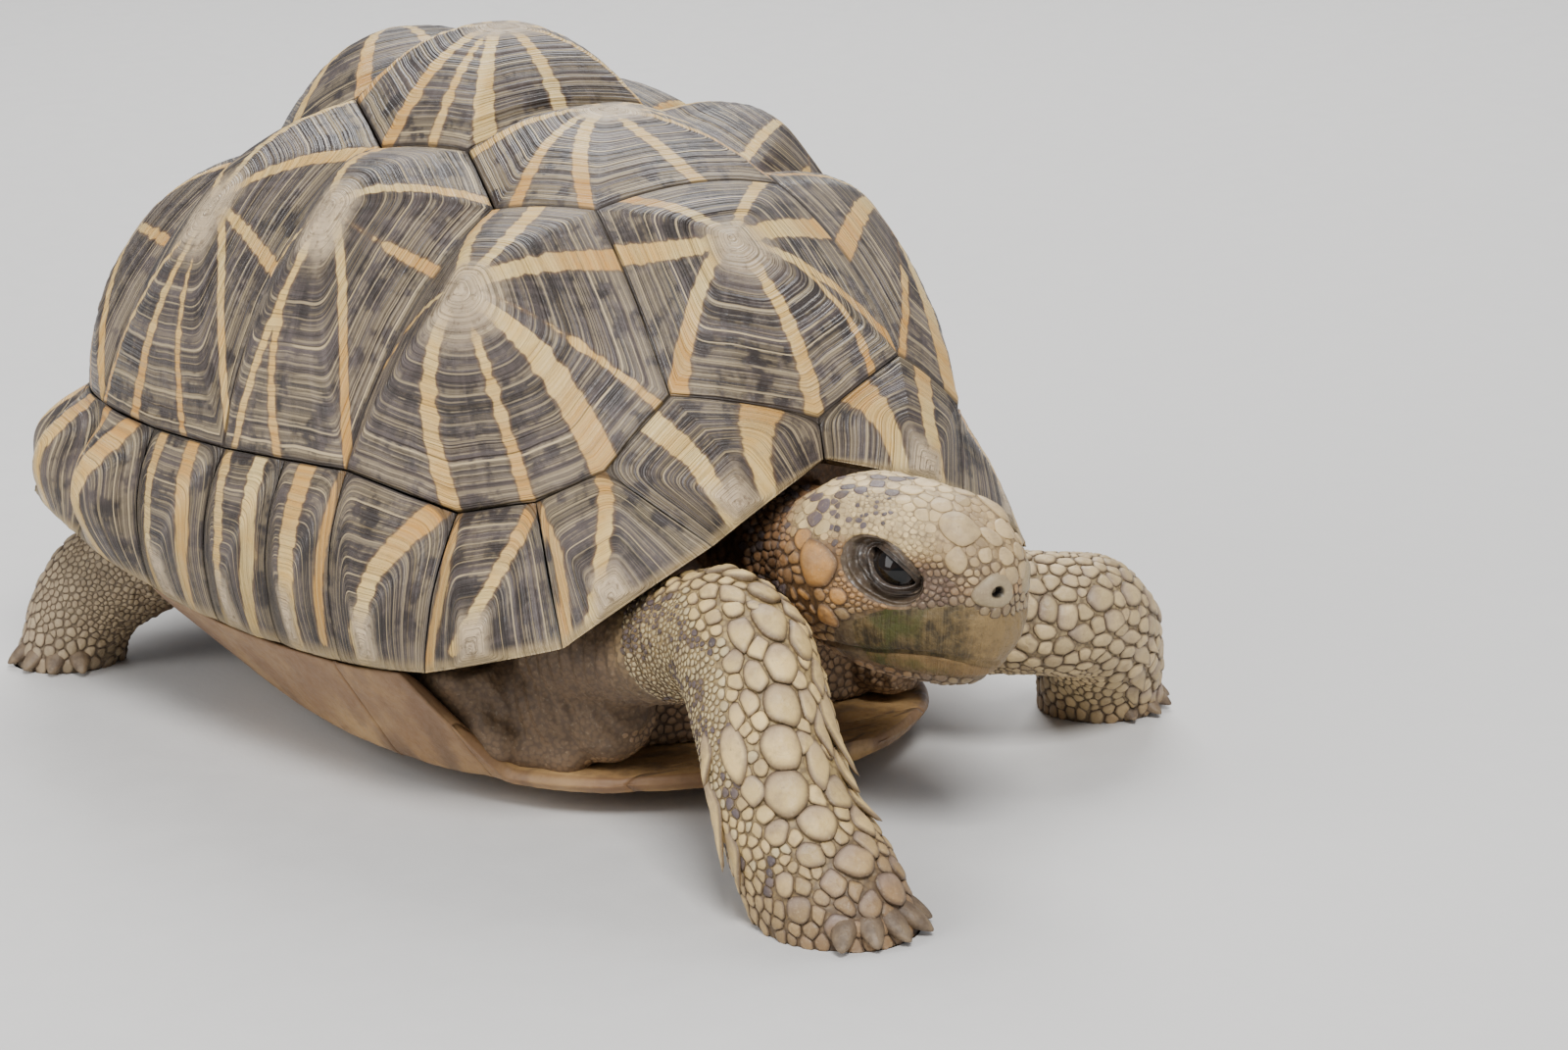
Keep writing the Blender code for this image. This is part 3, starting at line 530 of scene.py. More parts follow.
def marginal_radius(index):
    """Radius of the seam before a marginal: flat in front, round at the bridge, then hollow."""
    if index <= 2:
        return 400.0
    if index <= 7:
        return 45.0
    return -130.0


def along(edge, t):
    """Points at the shares t of an evenly divided edge."""
    x = np.clip(t, 0.0, 1.0) * (len(edge) - 1)
    i = np.minimum(x.astype(int), len(edge) - 2)
    f = (x - i)[..., None]
    return edge[i] * (1 - f) + edge[i + 1] * f


def marginal_piece(name, top_corners, low_corners, first, last, material):
    """A plate of the rim: a patch between its four seams, with its growth centre low down."""
    rng = random.Random(name)
    steps = 40 // (len(top_corners) - 1)
    top = path(top_corners, DOME_RADIUS, steps)
    low = path(low_corners, DOME_RADIUS, steps)
    front = path([top[0], low[0]], marginal_radius(first), 40)
    rear = path([top[-1], low[-1]], marginal_radius(last), 40)
    middle = (top[0] + top[-1] + low[0] + low[-1]) / 4
    top, low, front, rear = [e + unit(middle - e) * SEAM_GAP for e in (top, low, front, rear)]
    outward = unit(middle - core_points(middle))
    swell = REAR_SWELL if first in (7, 8, 9) else 1.5

    def surface(u, v, inner=False):
        ruled = along(top, u) * (1 - v)[..., None] + along(low, u) * v[..., None]
        ruled += along(front, v) * (1 - u)[..., None] + along(rear, v) * u[..., None]
        s = u[..., None]
        t = v[..., None]
        flat = (top[0] * (1 - s) + top[-1] * s) * (1 - t) + (low[0] * (1 - s) + low[-1] * s) * t
        p = ruled - flat
        if inner:
            return sunk(p, PLATE_THICK + (RIM_THICK - PLATE_THICK) * v)
        bulge = np.sin(math.pi * u) * np.sin(math.pi * v)
        return p + outward * (swell * bulge)[..., None]

    columns = 64 if len(top_corners) == 2 else 104
    rows = 64
    u, v = np.meshgrid(np.linspace(0, 1, columns + 1), np.linspace(0, 1, rows + 1),
                       indexing="ij")
    outer = surface(u, v)
    normals = grid_normals(outer, False)
    if (normals[columns // 2, rows // 2] @ outward) < 0:
        normals = -normals
    centre_u = 0.68 + rng.uniform(-0.06, 0.06)
    if name == "supracaudal":
        centre_u = 0.5
    centre_v = 0.7 if first >= 8 else 0.9
    gauge = [(centre_u - u) / centre_u, (u - centre_u) / (1 - centre_u), (centre_v - v) / centre_v,
             0.4 * (v - centre_v) / (1.001 - centre_v)]
    growth = (sum(np.clip(g, 0, None) ** 8 for g in gauge)) ** 0.125
    extent = np.linalg.norm(surface(np.array([centre_u]), np.array([0.0]))[0]
                            - surface(np.array([centre_u]), np.array([centre_v]))[0])
    base, relief, lines = growth_profile(rng, 400, max(extent, 20.0))
    wobble = noise_at(outer, 0.13)
    edge = np.maximum(smoothstep(0.975, 1.0, growth), smoothstep(0.965, 1.0, v))
    height = np.interp(growth, base, relief) * (0.6 + 0.5 * wobble) * 0.7 + 0.3 * wobble
    outer = outer + normals * (height - 0.45 * edge)[..., None]

    step = rows + 1
    a = (np.arange(columns)[:, None] * step + np.arange(rows)[None]).ravel()
    quads = [np.stack([a, a + step, a + step + 1, a + 1], 1)]
    border = np.concatenate([np.arange(columns) * step, columns * step + np.arange(rows),
                             np.arange(columns, 0, -1) * step + rows, np.arange(rows, 0, -1)])
    border_u = u.ravel()[border]
    border_v = v.ravel()[border]
    points = [outer.reshape(-1, 3)]
    before = border
    total = u.size
    for share in (1.0, 0.86, 0.6, 0.3):
        ring_u = 0.5 + (border_u - 0.5) * share
        ring_v = 0.5 + (border_v - 0.5) * share
        points.append(surface(ring_u, ring_v, inner=True))
        ring = total + np.arange(len(border))
        quads.append(np.stack([before, np.roll(before, -1), np.roll(ring, -1), ring], 1))
        before = ring
        total += len(border)
    points.append(surface(np.array([0.5]), np.array([0.5]), inner=True))
    tris = np.stack([before, np.roll(before, -1), np.full(len(before), total)], 1)
    points = lean(np.vstack(points))
    quads = np.vstack(quads)
    wall = points[quads[0]]
    if np.cross(wall[1] - wall[0], wall[2] - wall[0]) @ outward < 0:
        quads = quads[:, ::-1]
        tris = tris[:, ::-1]
    mesh = make_mesh(name, place(points), quads, tris)

    width = np.linalg.norm(low[0] - low[-1]) * 0.5 + np.linalg.norm(top[0] - top[-1]) * 0.5
    tall = np.linalg.norm(middle - (top[0] + top[-1]) / 2) * 2
    number = 12 if name == "supracaudal" else first + 1
    ray = np.full(u.shape, -20.0)
    warm = np.zeros(u.shape)
    for low_end, bend, high_end, wide in MARGINAL_RAYS[number]:
        shade = rng.uniform(0.2, 0.9)
        for p, q, w0, w1 in ((low_end, bend, 0.75, 0.95), (bend, high_end, 0.95, 1.1)):
            px, py = (q[0] - p[0]) * width, (q[1] - p[1]) * tall
            dx, dy = (u - p[0]) * width, (v - p[1]) * tall
            t = np.clip((dx * px + dy * py) / (px * px + py * py), 0, 1)
            off = np.hypot(dx - px * t, dy - py * t)
            inside = wide / 2 * (w0 + (w1 - w0) * t) - off
            warm = np.where(inside > ray, shade, warm)
            ray = np.maximum(ray, inside)
    rest = len(points) - u.size

    def spread(grid, below):
        """One number for each point of the outside, and for the underside."""
        return np.concatenate([grid.ravel(), np.full(rest, below)])

    give(mesh, "growth", spread(growth, 1.0))
    give(mesh, "line", spread(np.interp(growth, base, lines), 0.0))
    give(mesh, "ray", spread(ray, -5.0))
    give(mesh, "warm", spread(warm, 0.5))
    depth = growth * extent + rng.uniform(0, 900)
    give(mesh, "depth", spread(depth, depth.max()))
    turn = np.arctan2((v - centre_v) * tall, (u - centre_u) * width)
    spoke = np.stack([width * 0.6 * np.cos(turn), width * 0.6 * np.sin(turn),
                      growth * extent * 0.12], -1)
    give_vector(mesh, "spoke", np.vstack([spoke.reshape(-1, 3), np.zeros((rest, 3))]))
    give(mesh, "rim", spread(smoothstep(0.90, 0.985, v), 0.8))
    return make_piece(name + "_horn", mesh, material, "carapace", name)


# ---- plastron -----------------------------------------------------------------------------------
def softened(y, ys, values, reach):
    """Value at y of a line through the given points, its corners rounded over reach."""
    shares = np.linspace(-1, 1, 9)
    return float(np.mean(np.interp(y + shares * reach, ys, values)))


def plastron_half_width(y):
    """Half the plastron's width."""
    return softened(y, [p[0] for p in PLASTRON_OUTLINE], [p[1] for p in PLASTRON_OUTLINE],
                    min(11.0, 3.0 + min(y + 107.0, 108.0 - y) * 0.8))


def rim_at(y):
    """How far out and how high the rim of the shell runs."""
    ys = [p[1] for p in RIM]
    return (softened(y, ys, [p[0] for p in RIM], 4.0), softened(y, ys, [p[2] for p in RIM], 4.0))


def plastron_section(y):
    """Right half of the cross-section, from the middle of the belly round to its inside."""
    width = plastron_half_width(y)
    low = PLASTRON_BOTTOM
    lift = max(0.0, -(y + 90.0)) * 0.1
    top = low + PLASTRON_THICK
    tip = np.array([width, low + 2.6])
    inner = np.array([width - 1.0, top - 0.4])
    rise = min(1.0, (y - BRIDGE_START) / 8.0, (BRIDGE_END - y) / 8.0)
    if rise > 0:
        rim_x, rim_z = rim_at(y)
        tip = tip + (np.array([rim_x - 1.0, rim_z - 0.9]) - tip) * rise
        inner = inner + (np.array([rim_x - 5.0, rim_z - 0.9]) - inner) * rise
    half = np.array([(0.0, low), (0.62 * width, low), (width - 2.0, low + 0.8), tip, inner,
                     (width - 5.0, top), (0.0, top)])
    half[:, 1] += lift
    return half


def plastron_piece(name, start, end, material):
    """A band of the plastron, from its front seam to its rear one, bridge included."""
    rng = random.Random(name)
    start += SEAM_GAP
    end -= SEAM_GAP
    stations = np.linspace(start, end, max(12, int((end - start) / 0.7)))
    share = []
    for corner, steps in enumerate((30, 12, 26, 4, 6, 5)):
        share.append(corner + np.arange(steps) / steps)
    share = np.concatenate(share + [[6.0]])
    rings = []
    for y in stations:
        half = plastron_section(y)
        xs = np.interp(share, range(7), half[:, 0])
        zs = np.interp(share, range(7), half[:, 1])
        for _ in range(5):
            xs[1:-1] = (xs[:-2] + 2 * xs[1:-1] + xs[2:]) / 4
            zs[1:-1] = (zs[:-2] + 2 * zs[1:-1] + zs[2:]) / 4
        rings.append(np.stack([xs, np.full(len(xs), y), zs], 1))
    half = np.array(rings)
    along_seam = np.minimum(stations - start, end - stations)[:, None]
    growth = 1.0 - np.clip(along_seam / ((end - start) * 0.5), 0, 1) * 0.8
    growth = np.maximum(growth, smoothstep(0.3, 0.0, half[..., 0] / 3.0) * 0.97)
    base, relief, lines = growth_profile(rng, 300, 24.0)
    edge = smoothstep(0.9, 0.0, along_seam) * 0.5
    middle = smoothstep(0.8, 0.0, half[..., 0]) * 0.5
    dent = np.maximum(edge, middle) - np.interp(growth, base, relief) * 0.5
    half[..., 2] += dent * (share <= 3.0)
    ring = np.concatenate([half * (-1, 1, 1), half[:, -2:0:-1]], 1)
    shares = np.tile(np.concatenate([share, share[-2:0:-1]]), len(stations))
    points = ring.reshape(-1, 3)
    quads = ring_quads(len(stations), ring.shape[1])
    mesh = make_mesh(name, place(lean(points)), quads)
    turn_outwards(mesh, close_ends=True)
    full = np.concatenate([growth, growth[:, -2:0:-1]], 1)
    give(mesh, "growth", full.ravel())
    give(mesh, "line", np.interp(full, base, lines).ravel())
    outer_x = np.abs(points[:, 0])
    reach = np.array([plastron_half_width(y) for y in points[:, 1]])
    centre_y = start * 0.35 + end * 0.65
    angle = np.arctan2(points[:, 1] - centre_y, reach * 0.75 - outer_x)
    rays = np.cos(angle * 7 + rng.uniform(0, 6)) + 0.45 * np.cos(angle * 12 + rng.uniform(0, 6))
    give(mesh, "ray", rays)
    give(mesh, "bridge", smoothstep(1.8, 2.6, shares) * (shares < 4.2))
    return make_piece("belly_" + name, mesh, material, "plastron", "plastron_" + name)


# ---- flesh --------------------------------------------------------------------------------------
HEAD_SECTIONS = [
    (-25.0, 12.5, 11.0, 15.0), (-18.0, 15.5, 16.0, 19.5), (-9.0, 17.4, 18.5, 22.5),
    (1.0, 16.4, 18.8, 23.5), (10.0, 13.8, 17.5, 23.0), (17.0, 11.8, 14.0, 21.0),
    (22.0, 9.6, 10.5, 17.5), (24.6, 7.0, 6.0, 12.5)]
HEAD_SQUARENESS = 0.82
NECK_SECTIONS = [((0, -80, 33), 19, 17), ((-1, -106, 35), 15.5, 15), ((-3.5, -119, 35), 13.5, 14),
                 ((-6, -130, 37), 13.0, 14)]
LIMBS = {
    "leg_fore_right": ([((-40, -72, 14), 16, 15), ((-37, -106, 20.5), 14, 14),
                        ((-35, -125, 29.5), 15, 14.5), ((-39.5, -139, 19), 15.5, 14.5),
                        ((-43.5, -150, 3), 15.5, 14), ((-43.5, -159.5, -9.5), 16, 15),
                        ((-41.5, -168, -20), 16.5, 17), ((-40, -174, -29), 14, 14)],
                       (1, 0, 0)),
    "leg_fore_left": ([((36, -72, 16), 16, 15), ((46, -97, 11), 15, 15),
                       ((60, -110, 9.5), 14.5, 14.5), ((75, -109, 8), 15, 15),
                       ((85, -101, -2), 15, 14), ((90, -94, -13), 16, 15),
                       ((93, -90, -28), 14.5, 15)], (0, -1, 0)),
    "leg_hind_right": ([((-40, 60, 14), 17, 17), ((-57, 72, 10), 16, 16),
                        ((-70, 84, 1), 14.5, 14.5), ((-76, 92, -9), 13.5, 13.5),
                        ((-78, 96, -28), 14, 14.5)], (0, 1, 0)),
    "leg_hind_left": ([((40, 62, 14), 17, 17), ((56, 66, 9), 16, 16), ((67, 68, 0), 14.5, 14.5),
                       ((72, 68, -10), 13.5, 13.5), ((74, 67, -28), 14, 14.5)], (0, 1, 0)),
    "tail": ([((0, 92, 10), 11, 10), ((0, 112, 4), 8.5, 8), ((2, 124, -3), 6, 5.5),
              ((5, 132, -9), 3, 3)], (1, 0, 0)),
}
# Claws of a foot: how far the middle one turns from straight ahead, their spread, their number
CLAWS = {"leg_fore_right": (8, 100, 5), "leg_fore_left": (38, 100, 5),
         "leg_hind_right": (-60, 80, 4), "leg_hind_left": (50, 80, 4)}
# Loose skin in the corners of the shell's openings, the same on both sides: the ends of the
# bridge with the way inwards and how near the middle it starts, then balls and their sizes
CORNER_POCKETS = ((BRIDGE_START, 1, 34.0), (BRIDGE_END, -1, 46.0))
CORNER_BALLS = (
    (46, -62, 2, 11.5), (43, -73, 2, 11.0), (38, -82, 1, 10.0), (57, -64, -4, 5.4),
    (56, -67, -6, 4.6), (58, 35, -4, 5.4), (59.5, -59, -3, 4.4), (62, 32, -3, 5.0),
    (54.5, -61, -6, 6.5), (53, -65, -7, 5.5), (54, 32, -6, 6.5), (52, 37, -7, 5.5),
    (51, -62, -7, 6.5), (48, -69, -7.5, 6.5), (45, -76, -8, 6.0), (46, 50, 2, 11.5),
    (42, 60, 2, 11.0), (49, 42, -7, 6.5), (47, 49, -7.5, 6.5), (45, 57, -8, 6.0))
GROUND = -21.5
VOXEL = 1.0


def cubic(values, per_span):
    """A uniform cubic spline softened like the solids, at per_span steps a section."""
    values = np.asarray(values, float)
    before, after = 2 * values[:1] - values[1:2], 2 * values[-1:] - values[-2:-1]
    padded = np.concatenate([before, values, after])
    out = []
    spans = len(values) - 1
    for s in range(spans):
        for k in range(per_span + (s == spans - 1)):
            t = k / per_span
            w = np.array([(1 - t) ** 3, 3 * t ** 3 - 6 * t * t + 4,
                          -3 * t ** 3 + 3 * t * t + 3 * t + 1, t ** 3]) / 6
            out.append((w[:, None] * padded[s:s + 4]).sum(0))
    return np.array(out)


class Limb:
    """A limb's centre line and ovals; finds where on it a point lies."""

    def __init__(self, name, sections, side_axis, per_span=12, shrink=0.915):
        rows = cubic([list(c) + [a, b] for c, a, b in sections], per_span)
        self.name = name
        self.centre = rows[:, :3]
        self.across = rows[:, 3] * shrink
        self.along = rows[:, 4] * shrink
        self.forward = unit(np.gradient(self.centre, axis=0))
        axis = np.asarray(side_axis, float)
        self.side = unit(axis - self.forward * (self.forward @ axis)[:, None])
        self.up = np.cross(self.side, self.forward)
        steps = np.linalg.norm(np.diff(self.centre, axis=0), axis=1)
        self.length = np.concatenate([[0.0], np.cumsum(steps)])

    def tube(self):
        """The limb's rings of points, its ends rounded off."""
        around = 40
        angle = circle(around)
        ring = (self.side[:, None] * (self.across[:, None] * np.cos(angle))[..., None]
                + self.up[:, None] * (self.along[:, None] * np.sin(angle))[..., None])

        def rounded(end, way):
            """The last rings of an end: how wide, and how far they stand out."""
            out = way * self.forward[end] * self.across[end]
            return [self.centre[end] + ring[end] * wide + out * far
                    for wide, far in ((0.9, 0.2), (0.6, 0.45), (0.1, 0.55))]

        middle = list(self.centre[:, None] + ring)
        return np.array(rounded(0, -1)[::-1] + middle + rounded(-1, 1))

    def locate(self, points):
        """Place along the limb (mm), angle round it, and distance as a share of its oval."""
        at = np.zeros(len(points), int)
        for start in range(0, len(points), 20000):
            block = points[start:start + 20000]
            gap = ((block[:, None] - self.centre[None]) ** 2).sum(-1)
            at[start:start + 20000] = gap.argmin(1)
        away = points - self.centre[at]
        x = (away * self.side[at]).sum(1)
        y = (away * self.up[at]).sum(1)
        ahead = (away * self.forward[at]).sum(1)
        angle = np.arctan2(y / self.along[at], x / self.across[at])
        share = np.hypot(x / self.across[at], y / self.along[at])
        return self.length[at] + ahead, angle, share, at


def tube_mesh(rings):
    """Points, quads and triangles of a tube that is closed at both ends."""
    rows, count = rings.shape[:2]
    points = np.vstack([rings.reshape(-1, 3), rings[0].mean(0)[None], rings[-1].mean(0)[None]])
    hub = rows * count
    tris = np.vstack([fan(hub, 0, count), fan(hub + 1, hub - count, count)[:, [0, 2, 1]]])
    return points, ring_quads(rows, count)[:, [0, 3, 2, 1]], tris


def head_rings():
    """The head's loft in its own directions: ahead, left, up."""
    around = 64
    sections = cubic(HEAD_SECTIONS, 8)
    angle = circle(around)
    rings = []
    x, z = np.cos(angle), np.sin(angle)
    x = np.copysign(np.abs(x) ** HEAD_SQUARENESS, x)
    z = np.copysign(np.abs(z) ** HEAD_SQUARENESS, z)
    front = sections[-1].copy()
    front[0] += 0.8
    front[1:] *= 0.45
    for ahead, width, over, under in list(sections) + [front]:
        rings.append(np.stack([np.full(around, ahead), x * width * 0.965,
                               z * np.where(z > 0, over, under) * 0.965], 1))
    return np.array(rings)


def head_local(points):
    """Points in the head's own directions: ahead, left, up."""
    return (np.asarray(points, float) - np.array(HEAD_CENTRE)) @ HEAD_AXES.T


def head_world(local):
    """The way back from head_local."""
    return np.array(HEAD_CENTRE) + np.asarray(local, float) @ HEAD_AXES


def hold(mesh):
    """An object for a mesh that a modifier is to change."""
    holder = bpy.data.objects.new(mesh.name, mesh)
    bpy.context.scene.collection.objects.link(holder)
    return holder


def changed(holder):
    """The mesh as its modifier leaves it; the object goes."""
    ready = holder.evaluated_get(bpy.context.evaluated_depsgraph_get())
    result = bpy.data.meshes.new_from_object(ready)
    bpy.data.objects.remove(holder, do_unlink=True)
    return result


def remesh(points_list, voxel):
    """One closed surface round all the given solids."""
    mesh = bpy.data.meshes.new("flesh")
    points, faces = [], []
    for pts, quads, tris in points_list:
        base = len(points)
        points += [tuple(p) for p in pts]
        faces += [tuple(int(base + i) for i in face) for face in [*quads, *tris]]
    mesh.from_pydata(points, [], faces)
    turn_outwards(mesh)
    holder = hold(mesh)
    change = holder.modifiers.new("remesh", "REMESH")
    change.mode = "VOXEL"
    change.voxel_size = voxel
    result = changed(holder)
    bpy.data.meshes.remove(mesh)
    return result


def coords(mesh):
    """The points of a mesh."""
    out = np.empty(len(mesh.vertices) * 3, np.float32)
    mesh.vertices.foreach_get("co", out)
    return out.reshape(-1, 3).astype(float)


def edges_of(mesh):
    """The two ends of each edge."""
    out = np.empty(len(mesh.edges) * 2, np.int32)
    mesh.edges.foreach_get("vertices", out)
    return out.reshape(-1, 2)


def relax(points, edges, times):
    """Moves each point half of the way to the middle of its neighbours."""
    count = np.bincount(edges.ravel(), minlength=len(points))[:, None].clip(1)
    for _ in range(times):
        total = np.zeros_like(points)
        for axis in range(3):
            total[:, axis] = (np.bincount(edges[:, 0], points[edges[:, 1], axis], len(points))
                              + np.bincount(edges[:, 1], points[edges[:, 0], axis], len(points)))
        points = points + (total / count - points) * 0.5
    return points


def move_to(mesh, points):
    """Moves the points of a mesh."""
    mesh.vertices.foreach_set("co", points.astype(np.float32).ravel())
    mesh.update()


def normals_of(mesh):
    """The normal at each point."""
    out = np.empty(len(mesh.vertices) * 3, np.float32)
    mesh.vertex_normals.foreach_get("vector", out)
    return out.reshape(-1, 3).astype(float)


def trunk_hull():
    """The body inside the shell, as packed, in the animal's frame."""
    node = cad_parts["trunk"]
    points = coords(node.data) / MM - SHIFT
    faces = [tuple(f.vertices) for f in node.data.polygons]
    return points, faces


def ball(middle, radii):
    """A closed oval, for the loose skin that fills the corners of the shell's openings."""
    around, rows = 28, 16
    polar = np.linspace(0.08, math.pi - 0.08, rows)
    turn = circle(around)
    ring = np.stack([np.outer(np.sin(polar), np.cos(turn)), np.outer(np.sin(polar), np.sin(turn)),
                     np.outer(np.cos(polar), np.ones(around))], -1)
    return tube_mesh(np.array(middle) + ring * np.array(radii))


def corner_skin(side, edge, inward, inner):
    """Loose skin from the body out to the bridge, just inside one end of the bridge."""
    around = 28
    turn = circle(around)
    u = signed_power(np.cos(turn), 0.35) * 0.5 + 0.5
    v = signed_power(np.sin(turn), 0.35) * 0.5 + 0.5
    rings = []
    for back, size in ((0.8, 0.45), (1.6, 0.70), (3.2, 0.87), (6.0, 0.97), (10.0, 1.0),
                       (18.0, 1.0), (24.0, 0.9)):
        y = edge + inward * back
        rim_x, rim_z = rim_at(y)
        low = plastron_half_width(y) - 5.4
        high = min(rim_x - 6.6, low + 20.0)
        outer = low + (high - low) * v
        x = inner + (outer - inner) * u * size
        z = -12.4 + (rim_z + 10.7) * v * (0.5 + 0.5 * size)
        rings.append(np.stack([side * x, np.full(around, y), z], 1))
    return tube_mesh(np.array(rings))


def build_flesh(limbs):
    """Limbs, head, trunk and loose skin as one surface."""
    solids = []
    for limb in limbs:
        if limb.name != "head":
            solids.append(tube_mesh(limb.tube()))
    rings = head_rings()
    solids.append(tube_mesh(head_world(rings.reshape(-1, 3)).reshape(rings.shape)))
    points, faces = trunk_hull()
    solids.append((points, faces, []))
    for side in (-1, 1):
        for edge, inward, inner in CORNER_POCKETS:
            solids.append(corner_skin(side, edge, inward, inner))
        for x, y, z, size in CORNER_BALLS:
            solids.append(ball((side * x, y, z), (size, size * 1.1, size * 1.15)))
    return remesh(solids, VOXEL)


# ---- materials ----------------------------------------------------------------------------------
class Look:
    """A material built from nodes; each call adds a node and returns its output."""

    def __init__(self, name):
        self.material = bpy.data.materials.new(name)
        self.material.use_nodes = True
        self.tree = self.material.node_tree
        self.shader = self.tree.nodes["Principled BSDF"]
        self.where = self.node("TexCoord").outputs["Object"]

    def plug(self, socket, value):
        if isinstance(value, bpy.types.NodeSocket):
            self.tree.links.new(value, socket)
        else:
            socket.default_value = (*value, 1.0) if isinstance(value, tuple) else value

    def node(self, kind, inputs=None, **settings):
        made = self.tree.nodes.new("ShaderNode" + kind)
        for key, value in settings.items():
            setattr(made, key, value)
        for key, value in (inputs or {}).items():
            self.plug(made.inputs[key], value)
        return made

    def value(self, name):
        return self.node("Attribute", attribute_name=name).outputs["Fac"]

    def vector(self, name):
        return self.node("Attribute", attribute_name=name).outputs["Vector"]

    def colour(self, name):
        return self.node("Attribute", attribute_name=name).outputs["Color"]

    def sum(self, a, b, factor=1.0):
        return self.node("Math", {0: b, 1: factor, 2: a}, operation="MULTIPLY_ADD").outputs[0]

    def stir(self, value, noise, amount):
        """A value made uneven by a noise that runs from 0 to 1."""
        return self.sum(value, self.sum(-0.5, noise), amount)

    def times(self, a, b):
        return self.node("Math", {0: a, 1: b}, operation="MULTIPLY").outputs[0]

    def largest(self, a, b):
        return self.node("Math", {0: a, 1: b}, operation="MAXIMUM").outputs[0]

    def span(self, value, low, high, start=0.0, end=1.0):
        """A smooth step from start at low to end at high."""
        return self.node("MapRange", {"Value": value, "From Min": low, "From Max": high,
                                      "To Min": start, "To Max": end},
                         interpolation_type="SMOOTHSTEP").outputs[0]

    def blend(self, factor, a, b):
        """Colour a where the factor is 0, b where it is 1."""
        return self.node("Mix", {0: factor, 6: a, 7: b}, data_type="RGBA").outputs[2]

    def over(self, under, colour, value, low, high, most):
        """A colour laid over another where a value runs from low to high."""
        return self.blend(self.span(value, low, high, 0.0, most), under, colour)

    def cloud(self, scale, detail=3.0, rough=0.55, at=None):
        """Noise over space."""
        return self.node("TexNoise", {"Vector": at or self.where, "Scale": scale,
                                      "Detail": detail, "Roughness": rough}).outputs[0]

    def bands(self, along, scale, detail=1.0):
        """Noise along one measure, alike across it."""
        return self.node("TexNoise", {"W": along, "Scale": scale, "Detail": detail,
                                      "Roughness": 0.5}, noise_dimensions="1D").outputs[0]

    def cells(self, scale, feature="F1"):
        return self.node("TexVoronoi", {"Vector": self.where, "Scale": scale},
                         feature=feature).outputs[0]

    def lines(self, along, number, unrest, half):
        """Thin lines across a measure, so many to each unit of it, unevenly spaced."""
        count = self.sum(self.times(along, number), self.bands(along, 0.55 * number), unrest)
        part = self.node("Math", {0: count}, operation="FRACT").outputs[0]
        away = self.node("Math", {0: self.sum(part, -0.5)}, operation="ABSOLUTE").outputs[0]
        return self.span(away, half, 0.4 * half)

    def bump(self, height, distance, strength, normal=None):
        inputs = {"Height": height, "Distance": distance, "Strength": strength}
        if normal:
            inputs["Normal"] = normal
        return self.node("Bump", inputs).outputs[0]

    def finish(self, colour, roughness, normal=None, **constants):
        self.plug(self.shader.inputs["Base Color"], colour)
        self.plug(self.shader.inputs["Roughness"], roughness)
        if normal:
            self.plug(self.shader.inputs["Normal"], normal)
        for key, value in constants.items():
            self.shader.inputs[key.replace("_", " ")].default_value = value
        return self.material


